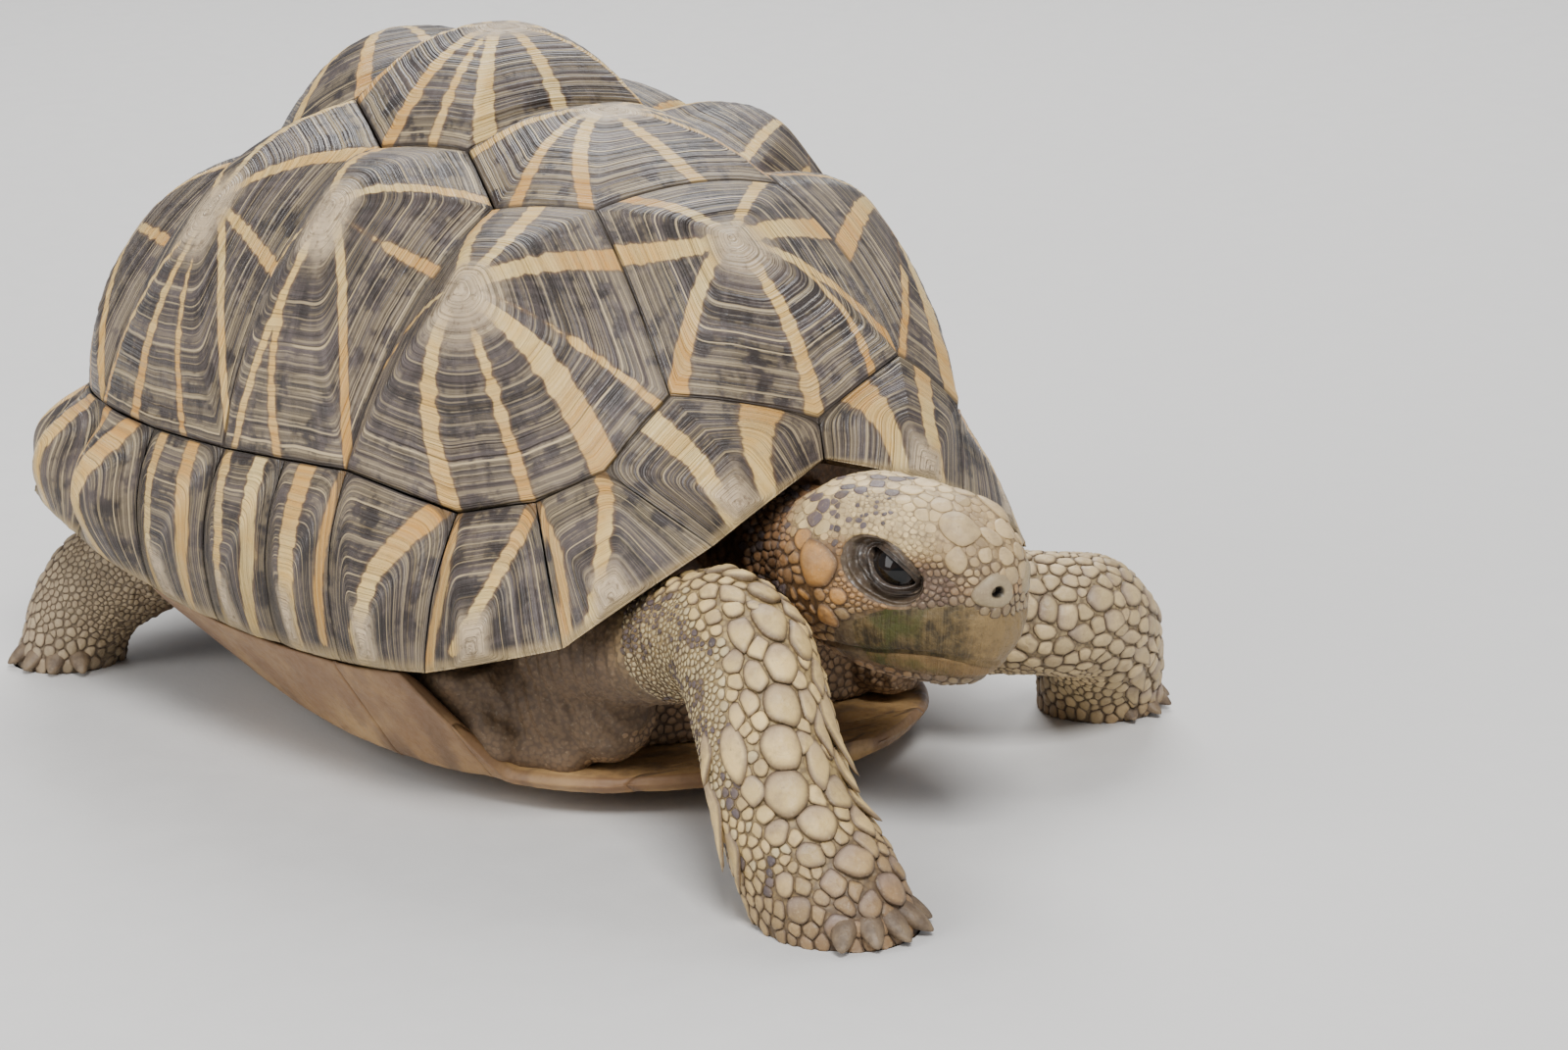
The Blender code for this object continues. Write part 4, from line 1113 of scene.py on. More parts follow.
def carapace_look():
    """Dark horn crossed by yellow rays, with pale growth lines and a worn peak."""
    look = Look("carapace horn")
    growth = look.value("growth")
    depth = look.sum(look.value("depth"), look.cloud(60.0, 2.0), 1.4)
    streak = look.cloud(0.30, 4.0, 0.6, look.vector("spoke"))
    haze = look.cloud(75.0, 4.0, 0.6)
    fine = look.cloud(520.0, 4.0, 0.65)

    dark = look.blend(look.span(haze, 0.3, 0.68), HORN_DARK, HORN_BROWN)
    worn = look.times(look.span(streak, 0.42, 0.68), look.span(fine, 0.25, 0.7, 0.35, 1.0))
    dark = look.blend(look.times(worn, 0.46), dark, HORN_GREY)
    season = look.bands(depth, 0.16, 2.0)
    dark = look.over(dark, HORN_GREY, season, 0.5, 0.66, 0.34)
    dark = look.over(dark, HORN_DARK, season, 0.46, 0.36, 0.55)

    outer = look.span(growth, 0.12, 0.75)
    broken = look.span(look.cloud(150.0, 3.0, 0.6), 0.40, 0.54)
    minor = look.lines(depth, 0.85, 1.3, 0.13)
    minor = look.times(look.times(minor, outer), look.times(broken, 0.40))
    major = look.times(look.lines(depth, 0.27, 1.2, 0.075),
                       look.span(look.bands(depth, 0.7), 0.35, 0.62, 0.35, 1.0))
    major = look.times(look.times(major, look.span(growth, 0.1, 0.4, 0.35, 1.0)),
                       look.span(look.cloud(70.0, 2.0, 0.5), 0.30, 0.42, 0.25, 1.0))
    lines = look.largest(look.times(major, 0.88), minor)
    dark = look.blend(lines, dark, HORN_LINE)
    crease = look.span(look.value("line"), 0.15, 0.9)
    dark = look.blend(look.times(crease, look.times(broken, 0.22)), dark, HORN_LINE)

    step = look.bands(depth, 0.42, 1.0)
    edge = look.stir(look.value("ray"), step, 1.25)
    edge = look.stir(edge, look.cloud(420.0, 3.0), 0.9)
    inside = look.span(edge, -0.22, 0.28)
    warm = look.value("warm")
    ray = look.blend(look.span(haze, 0.35, 0.65), HORN_CREAM, HORN_YELLOW)
    amber = look.times(look.span(growth, 0.35, 0.95), look.span(warm, 0.15, 0.8))
    ray = look.blend(look.times(amber, 0.85), ray, HORN_AMBER)
    ray = look.over(ray, HORN_CREAM, step, 0.40, 0.62, 0.30)
    crossing = look.span(look.bands(depth, 0.9, 1.0), 0.58, 0.68, 0.0, 0.26)
    ray = look.blend(crossing, ray, (0.30, 0.19, 0.09))
    ray = look.over(ray, (0.27, 0.19, 0.12), fine, 0.62, 0.8, 0.35)
    fringe = look.times(look.span(edge, -0.95, -0.1), 0.55)
    shell = look.blend(fringe, dark, (0.17, 0.095, 0.042))
    shell = look.blend(inside, shell, ray)

    near = look.stir(growth, look.cloud(95.0, 4.0, 0.65), 0.30)
    pale = look.blend(look.span(haze, 0.4, 0.66), HORN_PALE, (0.44, 0.33, 0.21))
    pale = look.over(pale, (0.17, 0.11, 0.06), fine, 0.52, 0.68, 0.7)
    shell = look.blend(look.span(near, 0.35, 0.14, 0.0, 0.92), shell, pale)

    rim = look.times(look.value("rim"), look.span(haze, 0.3, 0.7, 0.95, 0.45))
    shell = look.blend(rim, shell, (0.50, 0.36, 0.17))
    shell = look.over(shell, (0.045, 0.033, 0.024), growth, 0.982, 0.998, 0.75)
    dust = look.span(look.cloud(240.0, 5.0, 0.7), 0.55, 0.75, 0.0, 0.30)
    shell = look.blend(dust, shell, (0.33, 0.26, 0.19))

    rough = look.span(haze, 0.3, 0.7, 0.31, 0.45)
    rough = look.sum(rough, look.span(fine, 0.4, 0.7), 0.10)
    height = look.sum(look.bands(depth, 0.85, 2.0), look.bands(depth, 2.3, 1.0), 0.6)
    height = look.sum(height, look.cloud(330.0, 4.0), 0.35)
    normal = look.bump(height, 0.0010, 0.9)
    normal = look.bump(look.cloud(1700.0, 3.0, 0.6), 0.00018, 0.6, normal)
    return look.finish(shell, rough, normal)


def belly_look():
    """Tan horn with dark rays, browner up the bridge."""
    look = Look("plastron horn")
    haze = look.cloud(60.0, 4.0, 0.6)
    fine = look.cloud(500.0, 4.0, 0.6)
    tan = look.blend(look.span(haze, 0.3, 0.7), (0.48, 0.30, 0.125), (0.33, 0.19, 0.08))
    rays = look.stir(look.value("ray"), haze, 4.0)
    dark = look.times(look.span(rays, 0.2, 1.3), look.span(look.value("growth"), 0.2, 0.5))
    colour = look.blend(look.times(dark, 0.72), tan, (0.085, 0.055, 0.036))
    blotch = look.cloud(130.0, 4.0, 0.6)
    colour = look.over(colour, (0.16, 0.095, 0.05), blotch, 0.5, 0.66, 0.6)
    bridge = look.times(look.value("bridge"), look.span(haze, 0.3, 0.6, 0.5, 0.85))
    colour = look.blend(bridge, colour, (0.20, 0.105, 0.047))
    colour = look.over(colour, (0.14, 0.09, 0.05), fine, 0.55, 0.75, 0.4)
    height = look.cloud(300.0, 5.0, 0.6)
    normal = look.bump(height, 0.0006, 0.6)
    return look.finish(colour, look.span(fine, 0.3, 0.7, 0.42, 0.6), normal)


def floor_look():
    """Plain pale floor."""
    look = Look("studio floor")
    fine = look.cloud(90.0, 4.0, 0.6)
    colour = look.blend(fine, (0.60, 0.585, 0.565), (0.66, 0.645, 0.62))
    return look.finish(colour, look.span(fine, 0.3, 0.7, 0.7, 0.85),
                       look.bump(look.cloud(700.0, 3.0), 0.0002, 0.3))


def skin_look():
    """Dry granular skin in the animal's own tints; darker in the creases."""
    look = Look("skin")
    tint = look.colour("tint")
    haze = look.cloud(110.0, 4.0, 0.6)
    fine = look.cloud(900.0, 4.0, 0.6)
    grain = look.cells(900.0)
    colour = look.blend(look.span(haze, 0.3, 0.7, 0.0, 0.45), tint, (0.10, 0.062, 0.036))
    colour = look.over(colour, (0.06, 0.038, 0.024), grain, 0.35, 0.75, 0.55)
    colour = look.over(colour, (0.55, 0.44, 0.30), fine, 0.55, 0.8, 0.3)
    height = look.sum(look.cells(900.0, "SMOOTH_F1"), fine, 0.5)
    normal = look.bump(height, 0.0004, 0.5)
    lid = look.value("lid")
    rough = look.sum(look.span(fine, 0.3, 0.7, 0.52, 0.7), lid, -0.24)
    return look.finish(colour, rough, normal)


def eye_look():
    """A dark moist eye, a little brown round the pupil."""
    look = Look("eye")
    turn = look.value("off_axis")
    streak = look.cloud(2600.0, 3.0, 0.6)
    iris = look.blend(streak, (0.012, 0.006, 0.003), (0.005, 0.003, 0.002))
    white = look.blend(streak, (0.012, 0.008, 0.006), (0.006, 0.004, 0.003))
    colour = look.blend(look.span(turn, 0.62, 0.72), iris, white)
    colour = look.blend(look.span(turn, 0.30, 0.36), (0.0015, 0.0015, 0.0015), colour)
    rough = look.span(streak, 0.3, 0.7, 0.045, 0.09)
    return look.finish(colour, rough, None, Specular_IOR_Level=0.35)


def scale_look():
    """Horny scales in the skin's tints, with darker rims and fine dirt."""
    look = Look("scales")
    tint = look.colour("tint")
    rho = look.value("rho")
    haze = look.cloud(260.0, 4.0, 0.6)
    fine = look.cloud(1500.0, 4.0, 0.65)
    colour = look.blend(look.span(rho, 0.68, 1.0, 0.0, 0.86), tint, (0.075, 0.047, 0.031))
    colour = look.over(colour, (0.20, 0.135, 0.085), haze, 0.42, 0.70, 0.42)
    colour = look.over(colour, (0.66, 0.52, 0.30), fine, 0.52, 0.75, 0.28)
    dirt = look.span(look.cloud(700.0, 4.0, 0.7), 0.60, 0.76, 0.0, 0.5)
    colour = look.blend(dirt, colour, (0.085, 0.055, 0.035))
    rings = look.bands(rho, 7.0, 1.0)
    height = look.sum(look.cloud(900.0, 4.0, 0.6), rings, 0.5)
    normal = look.bump(height, 0.00035, 0.5)
    return look.finish(colour, look.span(haze, 0.3, 0.7, 0.44, 0.60), normal)


def beak_look():
    """Olive-brown horn, streaked downwards, with green plant stains."""
    look = Look("beak horn")
    turn = look.value("turn")
    ahead = look.value("ahead")
    streaks = look.bands(turn, 16.0, 4.0)
    fine = look.cloud(1300.0, 4.0, 0.6)
    mottle = look.cloud(330.0, 5.0, 0.65)
    colour = look.blend(look.span(mottle, 0.36, 0.62), (0.040, 0.029, 0.015),
                        (0.135, 0.092, 0.038))
    colour = look.over(colour, (0.20, 0.14, 0.062), streaks, 0.42, 0.68, 0.30)
    front = look.span(look.stir(ahead, mottle, 8.0), 16.5, 23.5)
    colour = look.blend(look.times(front, 0.7), colour, (0.27, 0.175, 0.070))
    lower = look.sum(1.0, look.value("upper"), -1.0)
    colour = look.blend(look.times(lower, 0.65), colour, (0.235, 0.140, 0.054))
    patch = look.cloud(95.0, 3.0, 0.5)
    stain = look.times(look.span(patch, 0.42, 0.58), look.span(ahead, 20.0, 8.0))
    stain = look.times(stain, look.span(mottle, 0.35, 0.55))
    colour = look.blend(look.times(stain, 0.72), colour, (0.034, 0.052, 0.009))
    colour = look.over(colour, (0.055, 0.042, 0.024), fine, 0.55, 0.75, 0.5)
    height = look.sum(look.times(look.bands(turn, 40.0, 3.0), 0.5), mottle, 1.6)
    normal = look.bump(height, 0.0007, 0.7)
    return look.finish(colour, look.span(fine, 0.3, 0.7, 0.40, 0.58), normal,
                       Specular_IOR_Level=0.35)


def claw_look():
    """Brown horn, paler at the tip."""
    look = Look("claw horn")
    down = look.value("down")
    haze = look.cloud(420.0, 4.0, 0.6)
    colour = look.blend(down, (0.105, 0.065, 0.038), (0.22, 0.155, 0.09))
    colour = look.over(colour, (0.085, 0.056, 0.036), haze, 0.4, 0.65, 0.7)
    normal = look.bump(look.cloud(900.0, 4.0, 0.65), 0.0005, 0.6)
    return look.finish(colour, look.span(haze, 0.3, 0.7, 0.42, 0.6), normal)


# ---- skin ---------------------------------------------------------------------------------------
# Heights against distance ahead: the mouth line, the upper edge of the upper sheath and the
# lower edge of the lower one
MOUTH_LINE = [(-16.0, -16.3), (-10.0, -15.7), (0.0, -15.1), (5.0, -14.3), (10.0, -14.0),
              (15.0, -14.0), (19.0, -14.6), (21.5, -15.4), (24.5, -16.4)]
BEAK_TOP = [(-9.0, -9.5), (-5.3, -7.1), (1.2, -5.2), (10.8, -3.4), (17.5, -2.2), (21.0, -3.0),
            (24.5, -4.6)]
JAW_LOW = [(-9.0, -19.0), (0.0, -18.8), (8.0, -19.2), (15.0, -19.4), (20.0, -19.2),
           (24.5, -18.8)]
# The lids: middle and slant of the eye's opening, half its length and height, and the outer
# ring of the folds
LID_MIDDLE = (3.9, 3.7)
LID_SLANT = math.radians(-29.0)
LID_OPENING = (5.6, 2.55)
LID_RING_MIDDLE = (2.0, 2.6)
LID_RING = (9.4, 6.2)
NOSTRIL = (23.2, 5.4, 0.4)
# Mounds and hollows of the head, the same on both sides: height, place and size (ahead,
# sideways, up)
HEAD_MOUNDS = [
    (0.9, (-11.8, 15.7, 1.9), (5.5, 6.0, 5.5)), (0.7, (-9.3, 15.4, -7.5), (3.5, 5.0, 3.5)),
    (0.75, (-5.0, 13.0, 10.0), (3.6, 4.0, 2.6)), (0.75, (-1.0, 12.6, 11.6), (3.6, 4.0, 2.6)),
    (0.75, (3.5, 12.2, 11.4), (3.6, 4.0, 2.6)), (0.75, (8.0, 11.5, 9.0), (3.6, 4.0, 2.6)),
    (-1.3, (12.8, 12.0, 3.2), (3.0, 5.0, 3.6)), (0.8, (15.5, 7.5, 12.0), (4.2, 3.6, 3.6)),
    (0.5, (16.8, 10.8, 6.6), (2.6, 3.0, 2.6)), (-0.8, (3.0, 14.0, -7.2), (7.0, 6.0, 2.4)),
    (-0.6, (-16.0, 14.0, 8.0), (4.0, 6.0, 5.0))]
# Folds of the skin near the shell: from where to where along the limb, spacing and depth
LIMB_FOLDS = {"head": (14.0, 52.0, 6.5, 1.3), "leg_fore_right": (26.0, 66.0, 7.0, 1.1),
              "leg_fore_left": (22.0, 52.0, 7.0, 1.0), "leg_hind_right": (12.0, 40.0, 7.0, 1.0),
              "leg_hind_left": (12.0, 40.0, 7.0, 1.0)}
# Colours of the upper and the lower part of each leg
LEG_COLOURS = {"leg_fore_right": ((0.66, 0.46, 0.185), (0.25, 0.15, 0.070)),
               "leg_fore_left": ((0.54, 0.395, 0.195), (0.27, 0.165, 0.080)),
               "leg_hind_right": ((0.40, 0.30, 0.175), (0.31, 0.23, 0.14)),
               "leg_hind_left": ((0.40, 0.30, 0.175), (0.31, 0.23, 0.14))}
# Inside this distance from the middle of the shell the body's skin is never seen
HIDDEN_REACH = 74.0


def read(table, a):
    """A value between those of a table."""
    return np.interp(a, [row[0] for row in table], [row[1] for row in table])


def lid_distance(a, u):
    """1 on the outer ring of the lids, less inside."""
    c, s = math.cos(LID_SLANT), math.sin(LID_SLANT)
    x = (a - LID_RING_MIDDLE[0]) * c + (u - LID_RING_MIDDLE[1]) * s
    y = -(a - LID_RING_MIDDLE[0]) * s + (u - LID_RING_MIDDLE[1]) * c
    return np.hypot(x / LID_RING[0], y / LID_RING[1])


def sculpt_head(points, normals):
    """The mounds, the hollows and the line of the mouth."""
    local = head_local(points)
    a, l, u = local.T
    side = np.abs(l)
    inside = smoothstep(-27.0, -20.0, a) * (np.hypot(l, u) < 32.0)

    def mound(at, size):
        return np.exp(-((a - at[0]) / size[0]) ** 2 - ((side - at[1]) / size[1]) ** 2
                      - ((u - at[2]) / size[2]) ** 2)

    out = sum(high * mound(at, size) for high, at, size in HEAD_MOUNDS)
    out -= 0.7 * np.exp(-(l / 2.2) ** 2) * smoothstep(6.0, 12.0, u) * smoothstep(-8, 4, a)
    mouth = read(MOUTH_LINE, a)
    out -= np.exp(-((u - mouth) / 0.6) ** 2) * smoothstep(-17.0, -14.0, a)
    jaw = smoothstep(-13.0, -3.0, a)
    out -= 0.35 * smoothstep(mouth - 0.2, mouth - 1.4, u) * smoothstep(-16.0, -6.0, a)
    out += 1.9 * np.exp(-((u + 19.5) / 3.0) ** 2) * smoothstep(5.0, 10.0, side + a * 0.35) * jaw
    out += 0.35 * noise_at(local, 0.16)
    return points + normals * (out * inside)[:, None]


def hollow_head(points):
    """Room for the lids and the nostrils, whose own surfaces are joined on."""
    local = head_local(points)
    a, l, u = local.T
    side = np.abs(l)
    inside = a > -20.0
    eye = (1.0 - smoothstep(0.80, 1.04, lid_distance(a, u))) * (side > 7.0) * inside
    inward = -np.sign(l)[:, None] * HEAD_AXES[1][None]
    points = points + inward * (4.6 * eye)[:, None]
    pit = np.hypot(np.hypot(a - NOSTRIL[0] - 0.6, side - NOSTRIL[1] - 0.8), u - NOSTRIL[2])
    back = np.outer(1.0 - smoothstep(2.2, 3.4, pit), -HEAD_AXES[0]) + inward * 0.4 * (
        1.0 - smoothstep(2.2, 3.4, pit))[:, None]
    return points + back * 2.4


def fold_skin(points, normals, atlas):
    """Loose folds where the neck and the legs leave the shell, and a slight unevenness."""
    out = np.zeros(len(points))
    for name, (first, last, wave, deep) in LIMB_FOLDS.items():
        along, _, share, _ = atlas.limbs[name].locate(points)
        near = (share < 1.6) * smoothstep(last, first, along)
        fold = np.sin((along + noise_at(points, 0.045) * 5.0) * 2 * math.pi / wave)
        out += near * (np.abs(fold) ** 0.7 * -deep + deep * 0.5)
    out += 0.7 * noise_at(points, 0.075) + 0.18 * noise_at(points, 0.33)
    return points + normals * out[:, None]


class Atlas:
    """An unwrap of the whole animal's skin: each limb rolled out flat on its own strip."""

    # limb: left and lower corner of its strip, in millimetres, and a scale
    STRIPS = {"head": (4, 4, 1.0), "leg_fore_right": (122, 4, 1.0),
              "leg_fore_left": (232, 4, 1.0), "leg_hind_right": (4, 150, 1.0),
              "leg_hind_left": (116, 150, 1.0), "tail": (224, 150, 0.8),
              "trunk": (272, 170, 0.3)}
    SIZE = 370.0
    # A point farther than this from each limb, as a share of its oval, belongs to the trunk
    TRUNK_SHARE = 1.45

    def __init__(self, limbs):
        self.limbs = {limb.name: limb for limb in limbs}
        self.names = list(self.STRIPS)

    def regions(self, points):
        """The number of the strip that each point belongs to."""
        shares = []
        for name in self.names:
            _, _, share, _ = self.limbs[name].locate(points)
            shares.append(share if name != "trunk" else np.full(len(points), self.TRUNK_SHARE))
        return np.argmin(shares, 0)

    def on(self, name, region):
        """Which of the numbers are that of a strip."""
        return region == self.names.index(name)

    def uv(self, points, region, turn=None):
        """Places on the unwrap; turn is an angle that each point's own should stay close to."""
        out = np.zeros((len(points), 2))
        for i, name in enumerate(self.names):
            mask = region == i
            if not mask.any():
                continue
            limb = self.limbs[name]
            along, angle, _, _ = limb.locate(points[mask])
            if turn is not None:
                near = turn[mask]
                angle = near + (angle - near + math.pi) % (2 * math.pi) - math.pi
            radius = float((limb.across + limb.along).mean() / 2)
            left, low, scale = self.STRIPS[name]
            out[mask, 0] = (left + (angle + math.pi) * radius * scale) / self.SIZE
            out[mask, 1] = (low + 6 + along * scale) / self.SIZE
        return out

    def face_uv(self, mesh, points):
        """One place per face corner, kept together where a strip is cut open."""
        count = len(mesh.polygons)
        total = np.empty(count, np.int32)
        mesh.polygons.foreach_get("loop_total", total)
        corner = corner_vertices(mesh)
        face = np.repeat(np.arange(count), total)
        start = np.concatenate([[0], np.cumsum(total)[:-1]])
        first = corner[start]
        region = self.regions(points)[first]
        turn = np.zeros(count)
        for i, name in enumerate(self.names):
            mask = region == i
            if mask.any():
                turn[mask] = self.limbs[name].locate(points[first[mask]])[1]
        give_unwrap(mesh, self.uv(points[corner], region[face], turn[face]))


def flesh_tint(points, atlas):
    """The skin's own colours, for the skin and for the scales on it."""
    local = head_local(points)
    a, l, u = local.T
    side = np.abs(l)
    region = atlas.regions(points)
    tint = np.tile(np.array([0.27, 0.165, 0.085]), (len(points), 1))

    def paint(mask, colour):
        m = np.clip(mask, 0, 1)[:, None]
        return tint * (1 - m) + np.array(colour) * m

    on_head = atlas.on("head", region).astype(float)
    soft = noise_at(points, 0.12)
    # The whole head is first given the darker brown-orange that the neck keeps. This is the skin's
    # own tone with painted shade, where the neck lies under the front of the shell.
    tint = paint(on_head, (0.25, 0.125, 0.055))
    tint = paint(on_head * smoothstep(-26, -17, a + 3 * soft), (0.40, 0.215, 0.080))
    tint = paint(on_head * smoothstep(5.0, 9.0, u + 2 * soft) * smoothstep(-26, -19, a),
                 (0.63, 0.455, 0.215))
    tint = paint(on_head * smoothstep(-1.0, 3.0, u) * smoothstep(8, 14, a), (0.46, 0.315, 0.150))
    tint = paint(on_head * smoothstep(-3.0, -9.0, u) * smoothstep(-16, -6, a),
                 (0.235, 0.165, 0.08))
    # The throat under the jaw is painted brown-orange. This is the skin's own tone with painted
    # shade under the head.
    tint = paint(on_head * smoothstep(-16.0, -19.0, u) * smoothstep(-24, -14, a),
                 (0.29, 0.16, 0.065))
    tint = paint(on_head * smoothstep(4.0, 11.0, a) * smoothstep(1.5, -2.0, u),
                 (0.27, 0.19, 0.095))
    stain = np.exp(-((a - 8.0) / 8.0) ** 2 - ((u + 10.5) / 2.8) ** 2) * smoothstep(8, 11, side)
    tint = paint(on_head * stain * 0.75 * (0.6 + soft), (0.07, 0.10, 0.022))
    for name, (upper, foot) in LEG_COLOURS.items():
        limb = atlas.limbs[name]
        on = atlas.on(name, region).astype(float)
        along = limb.locate(points)[0]
        end = limb.length[-1]
        tint = paint(on * smoothstep(0.18 * end, 0.42 * end, along + 5 * soft), upper)
        tint = paint(on * smoothstep(0.74 * end, 0.95 * end, along + 5 * soft), foot)
    tint = paint(atlas.on("tail", region) * 1.0, (0.36, 0.25, 0.13))
    return tint * (1.0 + 0.22 * soft)[:, None]


def lid_patch(side, surface):
    """Folded lids round the eye's opening, running down under the head's skin."""
    count, rows = 96, 34
    turn = circle(count)
    c, s = math.cos(LID_SLANT), math.sin(LID_SLANT)
    ahead, sideways, height = EYE_PLACE

    def oval(middle, half, sharp):
        x = np.cos(turn) * half[0]
        y = signed_power(np.sin(turn), sharp) * half[1]
        return middle[0] + x * c - y * s, middle[1] + x * s + y * c

    a0, u0 = oval(LID_MIDDLE, LID_OPENING, 1.25)
    a1, u1 = oval(LID_RING_MIDDLE, (LID_RING[0] * 1.02, LID_RING[1] * 1.04), 1.0)
    points = np.zeros((rows, count, 3))
    outer = np.zeros(count)
    for j in range(count):
        start = Vector(head_world((a1[j], side * 30.0, u1[j])))
        hit = surface.ray_cast(start, Vector(HEAD_AXES[1] * -side))[0]
        outer[j] = abs(head_local(np.array(hit))[1]) if hit else 14.0
    for r in range(rows):
        t = r / (rows - 1)
        spread = t ** 0.9
        a = a0 + (a1 - a0) * spread
        u = u0 + (u1 - u0) * spread
        gap = np.hypot(a - ahead, u - height)
        ball = sideways + np.sqrt(np.clip((EYE_RADIUS + 0.5) ** 2 - gap ** 2, 0.4, None))
        ball = np.maximum(ball, outer - 2.7)
        l = ball + (outer - 0.30 - ball) * smoothstep(0.25, 1.0, t)
        lower = 0.35 + 0.65 * smoothstep(0.45, -0.35, np.sin(turn - 0.35))
        folds = np.sin(t * 2 * math.pi * 3.0 + 0.6 + 0.3 * np.sin(turn * 2)) * 0.62 * lower
        rise = 0.60 * math.exp(-((t - 0.07) / 0.05) ** 2)
        tuck = -0.9 * float(smoothstep(0.03, 0.0, t))
        wrinkle = np.array([noise.noise((math.cos(w) * 5, math.sin(w) * 5, t * 2.0))
                            for w in turn])
        l = l + folds * math.sin(math.pi * min(1.0, 0.08 + t * 0.92)) + rise + tuck
        l = l + 0.30 * wrinkle * math.sin(math.pi * t)
        l = l + 0.7 * np.clip(np.sin(turn), 0, 1) * math.sin(math.pi * t)
        points[r] = np.stack([a, side * l, u], 1)
    inner = points[0].copy()
    inner[:, 1] -= side * 1.2
    points = np.concatenate([inner[None], points])
    quads = ring_quads(rows + 1, count)
    if side > 0:
        quads = quads[:, ::-1]
    shade = np.repeat(np.linspace(0, 1, rows + 1), count)
    return head_world(points.reshape(-1, 3)), quads, shade


def build_skin(limbs, atlas):
    """The skin's mesh, finer round the eyes and the mouth, and the surface before its hollows."""
    flesh = build_flesh(limbs)
    points = relax(coords(flesh), edges_of(flesh), 5)
    trim = bmesh.new()
    trim.from_mesh(flesh)
    trim.verts.ensure_lookup_table()
    for vertex, point in zip(trim.verts, points):
        vertex.co = point
    local = head_local(points)
    near = (local[:, 0] > -24.0) & (np.hypot(local[:, 1], local[:, 2]) < 30.0)
    for _ in range(2):
        trim.verts.ensure_lookup_table()
        fine = [e for e in trim.edges
                if near[e.verts[0].index] and near[e.verts[1].index]]
        bmesh.ops.subdivide_edges(trim, edges=fine, cuts=1, use_grid_fill=True)
        trim.verts.index_update()
        points = np.array([v.co for v in trim.verts])
        local = head_local(points)
        d = lid_distance(local[:, 0], local[:, 2])
        near = (d < 1.4) & (d > 0.7) & (np.abs(local[:, 1]) > 7.0) & (local[:, 0] > -14)
        near |= ((np.abs(local[:, 2] - read(MOUTH_LINE, local[:, 0])) < 1.8)
                 & (local[:, 0] > -18.0) & (local[:, 0] < 0.0) & (np.abs(local[:, 1]) < 25))
    bmesh.ops.triangulate(trim, faces=[f for f in trim.faces if len(f.verts) > 4])
    trim.to_mesh(flesh)
    trim.free()
    points = relax(points, edges_of(flesh), 2)
    move_to(flesh, points)
    points = fold_skin(points, normals_of(flesh), atlas)
    move_to(flesh, points)
    points = sculpt_head(points, normals_of(flesh))
    points[:, 2] = np.maximum(points[:, 2], GROUND + 0.02)
    whole = surface_tree(flesh, points)
    move_to(flesh, hollow_head(points))
    return flesh, whole


def thin_hidden(mesh, atlas):
    """Fewer faces on the body inside the shell, which is never seen."""
    points = coords(mesh)
    hidden = atlas.on("trunk", atlas.regions(points))
    hidden &= np.abs(points[:, 1]) < HIDDEN_REACH
    holder = hold(mesh)
    group = holder.vertex_groups.new(name="hidden")
    group.add(np.flatnonzero(hidden).tolist(), 1.0, "REPLACE")
    change = holder.modifiers.new("thin", "DECIMATE")
    change.ratio = max(0.05, 1.0 - float(hidden.mean()) * 0.88)
    change.vertex_group = group.name
    return changed(holder)


def surface_tree(mesh, points):
    """For finding the nearest place of a surface, with its points given anew."""
    faces = [tuple(p.vertices) for p in mesh.polygons]
    return BVHTree.FromPolygons([tuple(p) for p in points], faces)


def join_meshes(name, parts):
    """parts: (points in the animal's frame, faces, shade) -> one mesh and its shades."""
    points, faces, shades = [], [], []
    base = 0
    for pts, polys, shade in parts:
        points.append(np.asarray(pts, float))
        faces += [tuple(int(base + i) for i in face) for face in polys]
        shades.append(np.asarray(shade, float))
        base += len(pts)
    points = np.vstack(points)
    mesh = bpy.data.meshes.new(name)
    mesh.from_pydata([tuple(p) for p in place(points)], [], faces)
    mesh.update()
    mesh.shade_smooth()
    return mesh, points, np.concatenate(shades)


def skin_piece(limbs, atlas, material):
    """The skin with its lids, and the surfaces that scales and horn are set on."""
    flesh, whole = build_skin(limbs, atlas)
    flesh = thin_hidden(flesh, atlas)
    points = coords(flesh)
    surface = surface_tree(flesh, points)
    parts = [(points, [tuple(p.vertices) for p in flesh.polygons], np.full(len(points), -1.0))]
    for side in (-1, 1):
        parts.append(lid_patch(side, whole))
    mesh, points, shade = join_meshes("skin", parts)
    local = head_local(points)
    crown = smoothstep(5.0, 9.0, local[:, 2]) * (np.hypot(local[:, 0], local[:, 1]) < 34)
    # Between the eye and the nostril, over the hollow there, the skin is painted a near-black
    # brown.
    loreal_dark = smoothstep(6.0, 10.0, local[:, 0]) * smoothstep(21.0, 15.5, local[:, 0])
    loreal_dark = loreal_dark * smoothstep(7.0, 3.5, local[:, 2]) * smoothstep(-4.0, -2.0, local[:, 2])
    loreal_dark = loreal_dark * smoothstep(6.5, 9.0, np.abs(local[:, 1])) * (np.abs(local[:, 1]) < 20)
    tint = flesh_tint(points, atlas) * (0.62 + 0.26 * crown)[:, None]
    tint = tint * (1 - 0.8 * loreal_dark)[:, None] + np.array([0.05, 0.028, 0.02]) * loreal_dark[:, None]
    lid = shade >= 0
    tint[lid] = (np.array([0.036, 0.030, 0.026]) * (1 - shade[lid, None] ** 2)
                 + np.array([0.12, 0.085, 0.05]) * shade[lid, None] ** 2)
    give_colour(mesh, "tint", tint)
    give(mesh, "lid", lid.astype(float))
    atlas.face_uv(mesh, points)
    make_piece("skin", mesh, material, "skin", "trunk", "neck", "head", "lower_jaw", "tail",
               *[name for name in LIMBS if name != "tail"])
    return surface, points[:len(coords(flesh))], flesh, whole


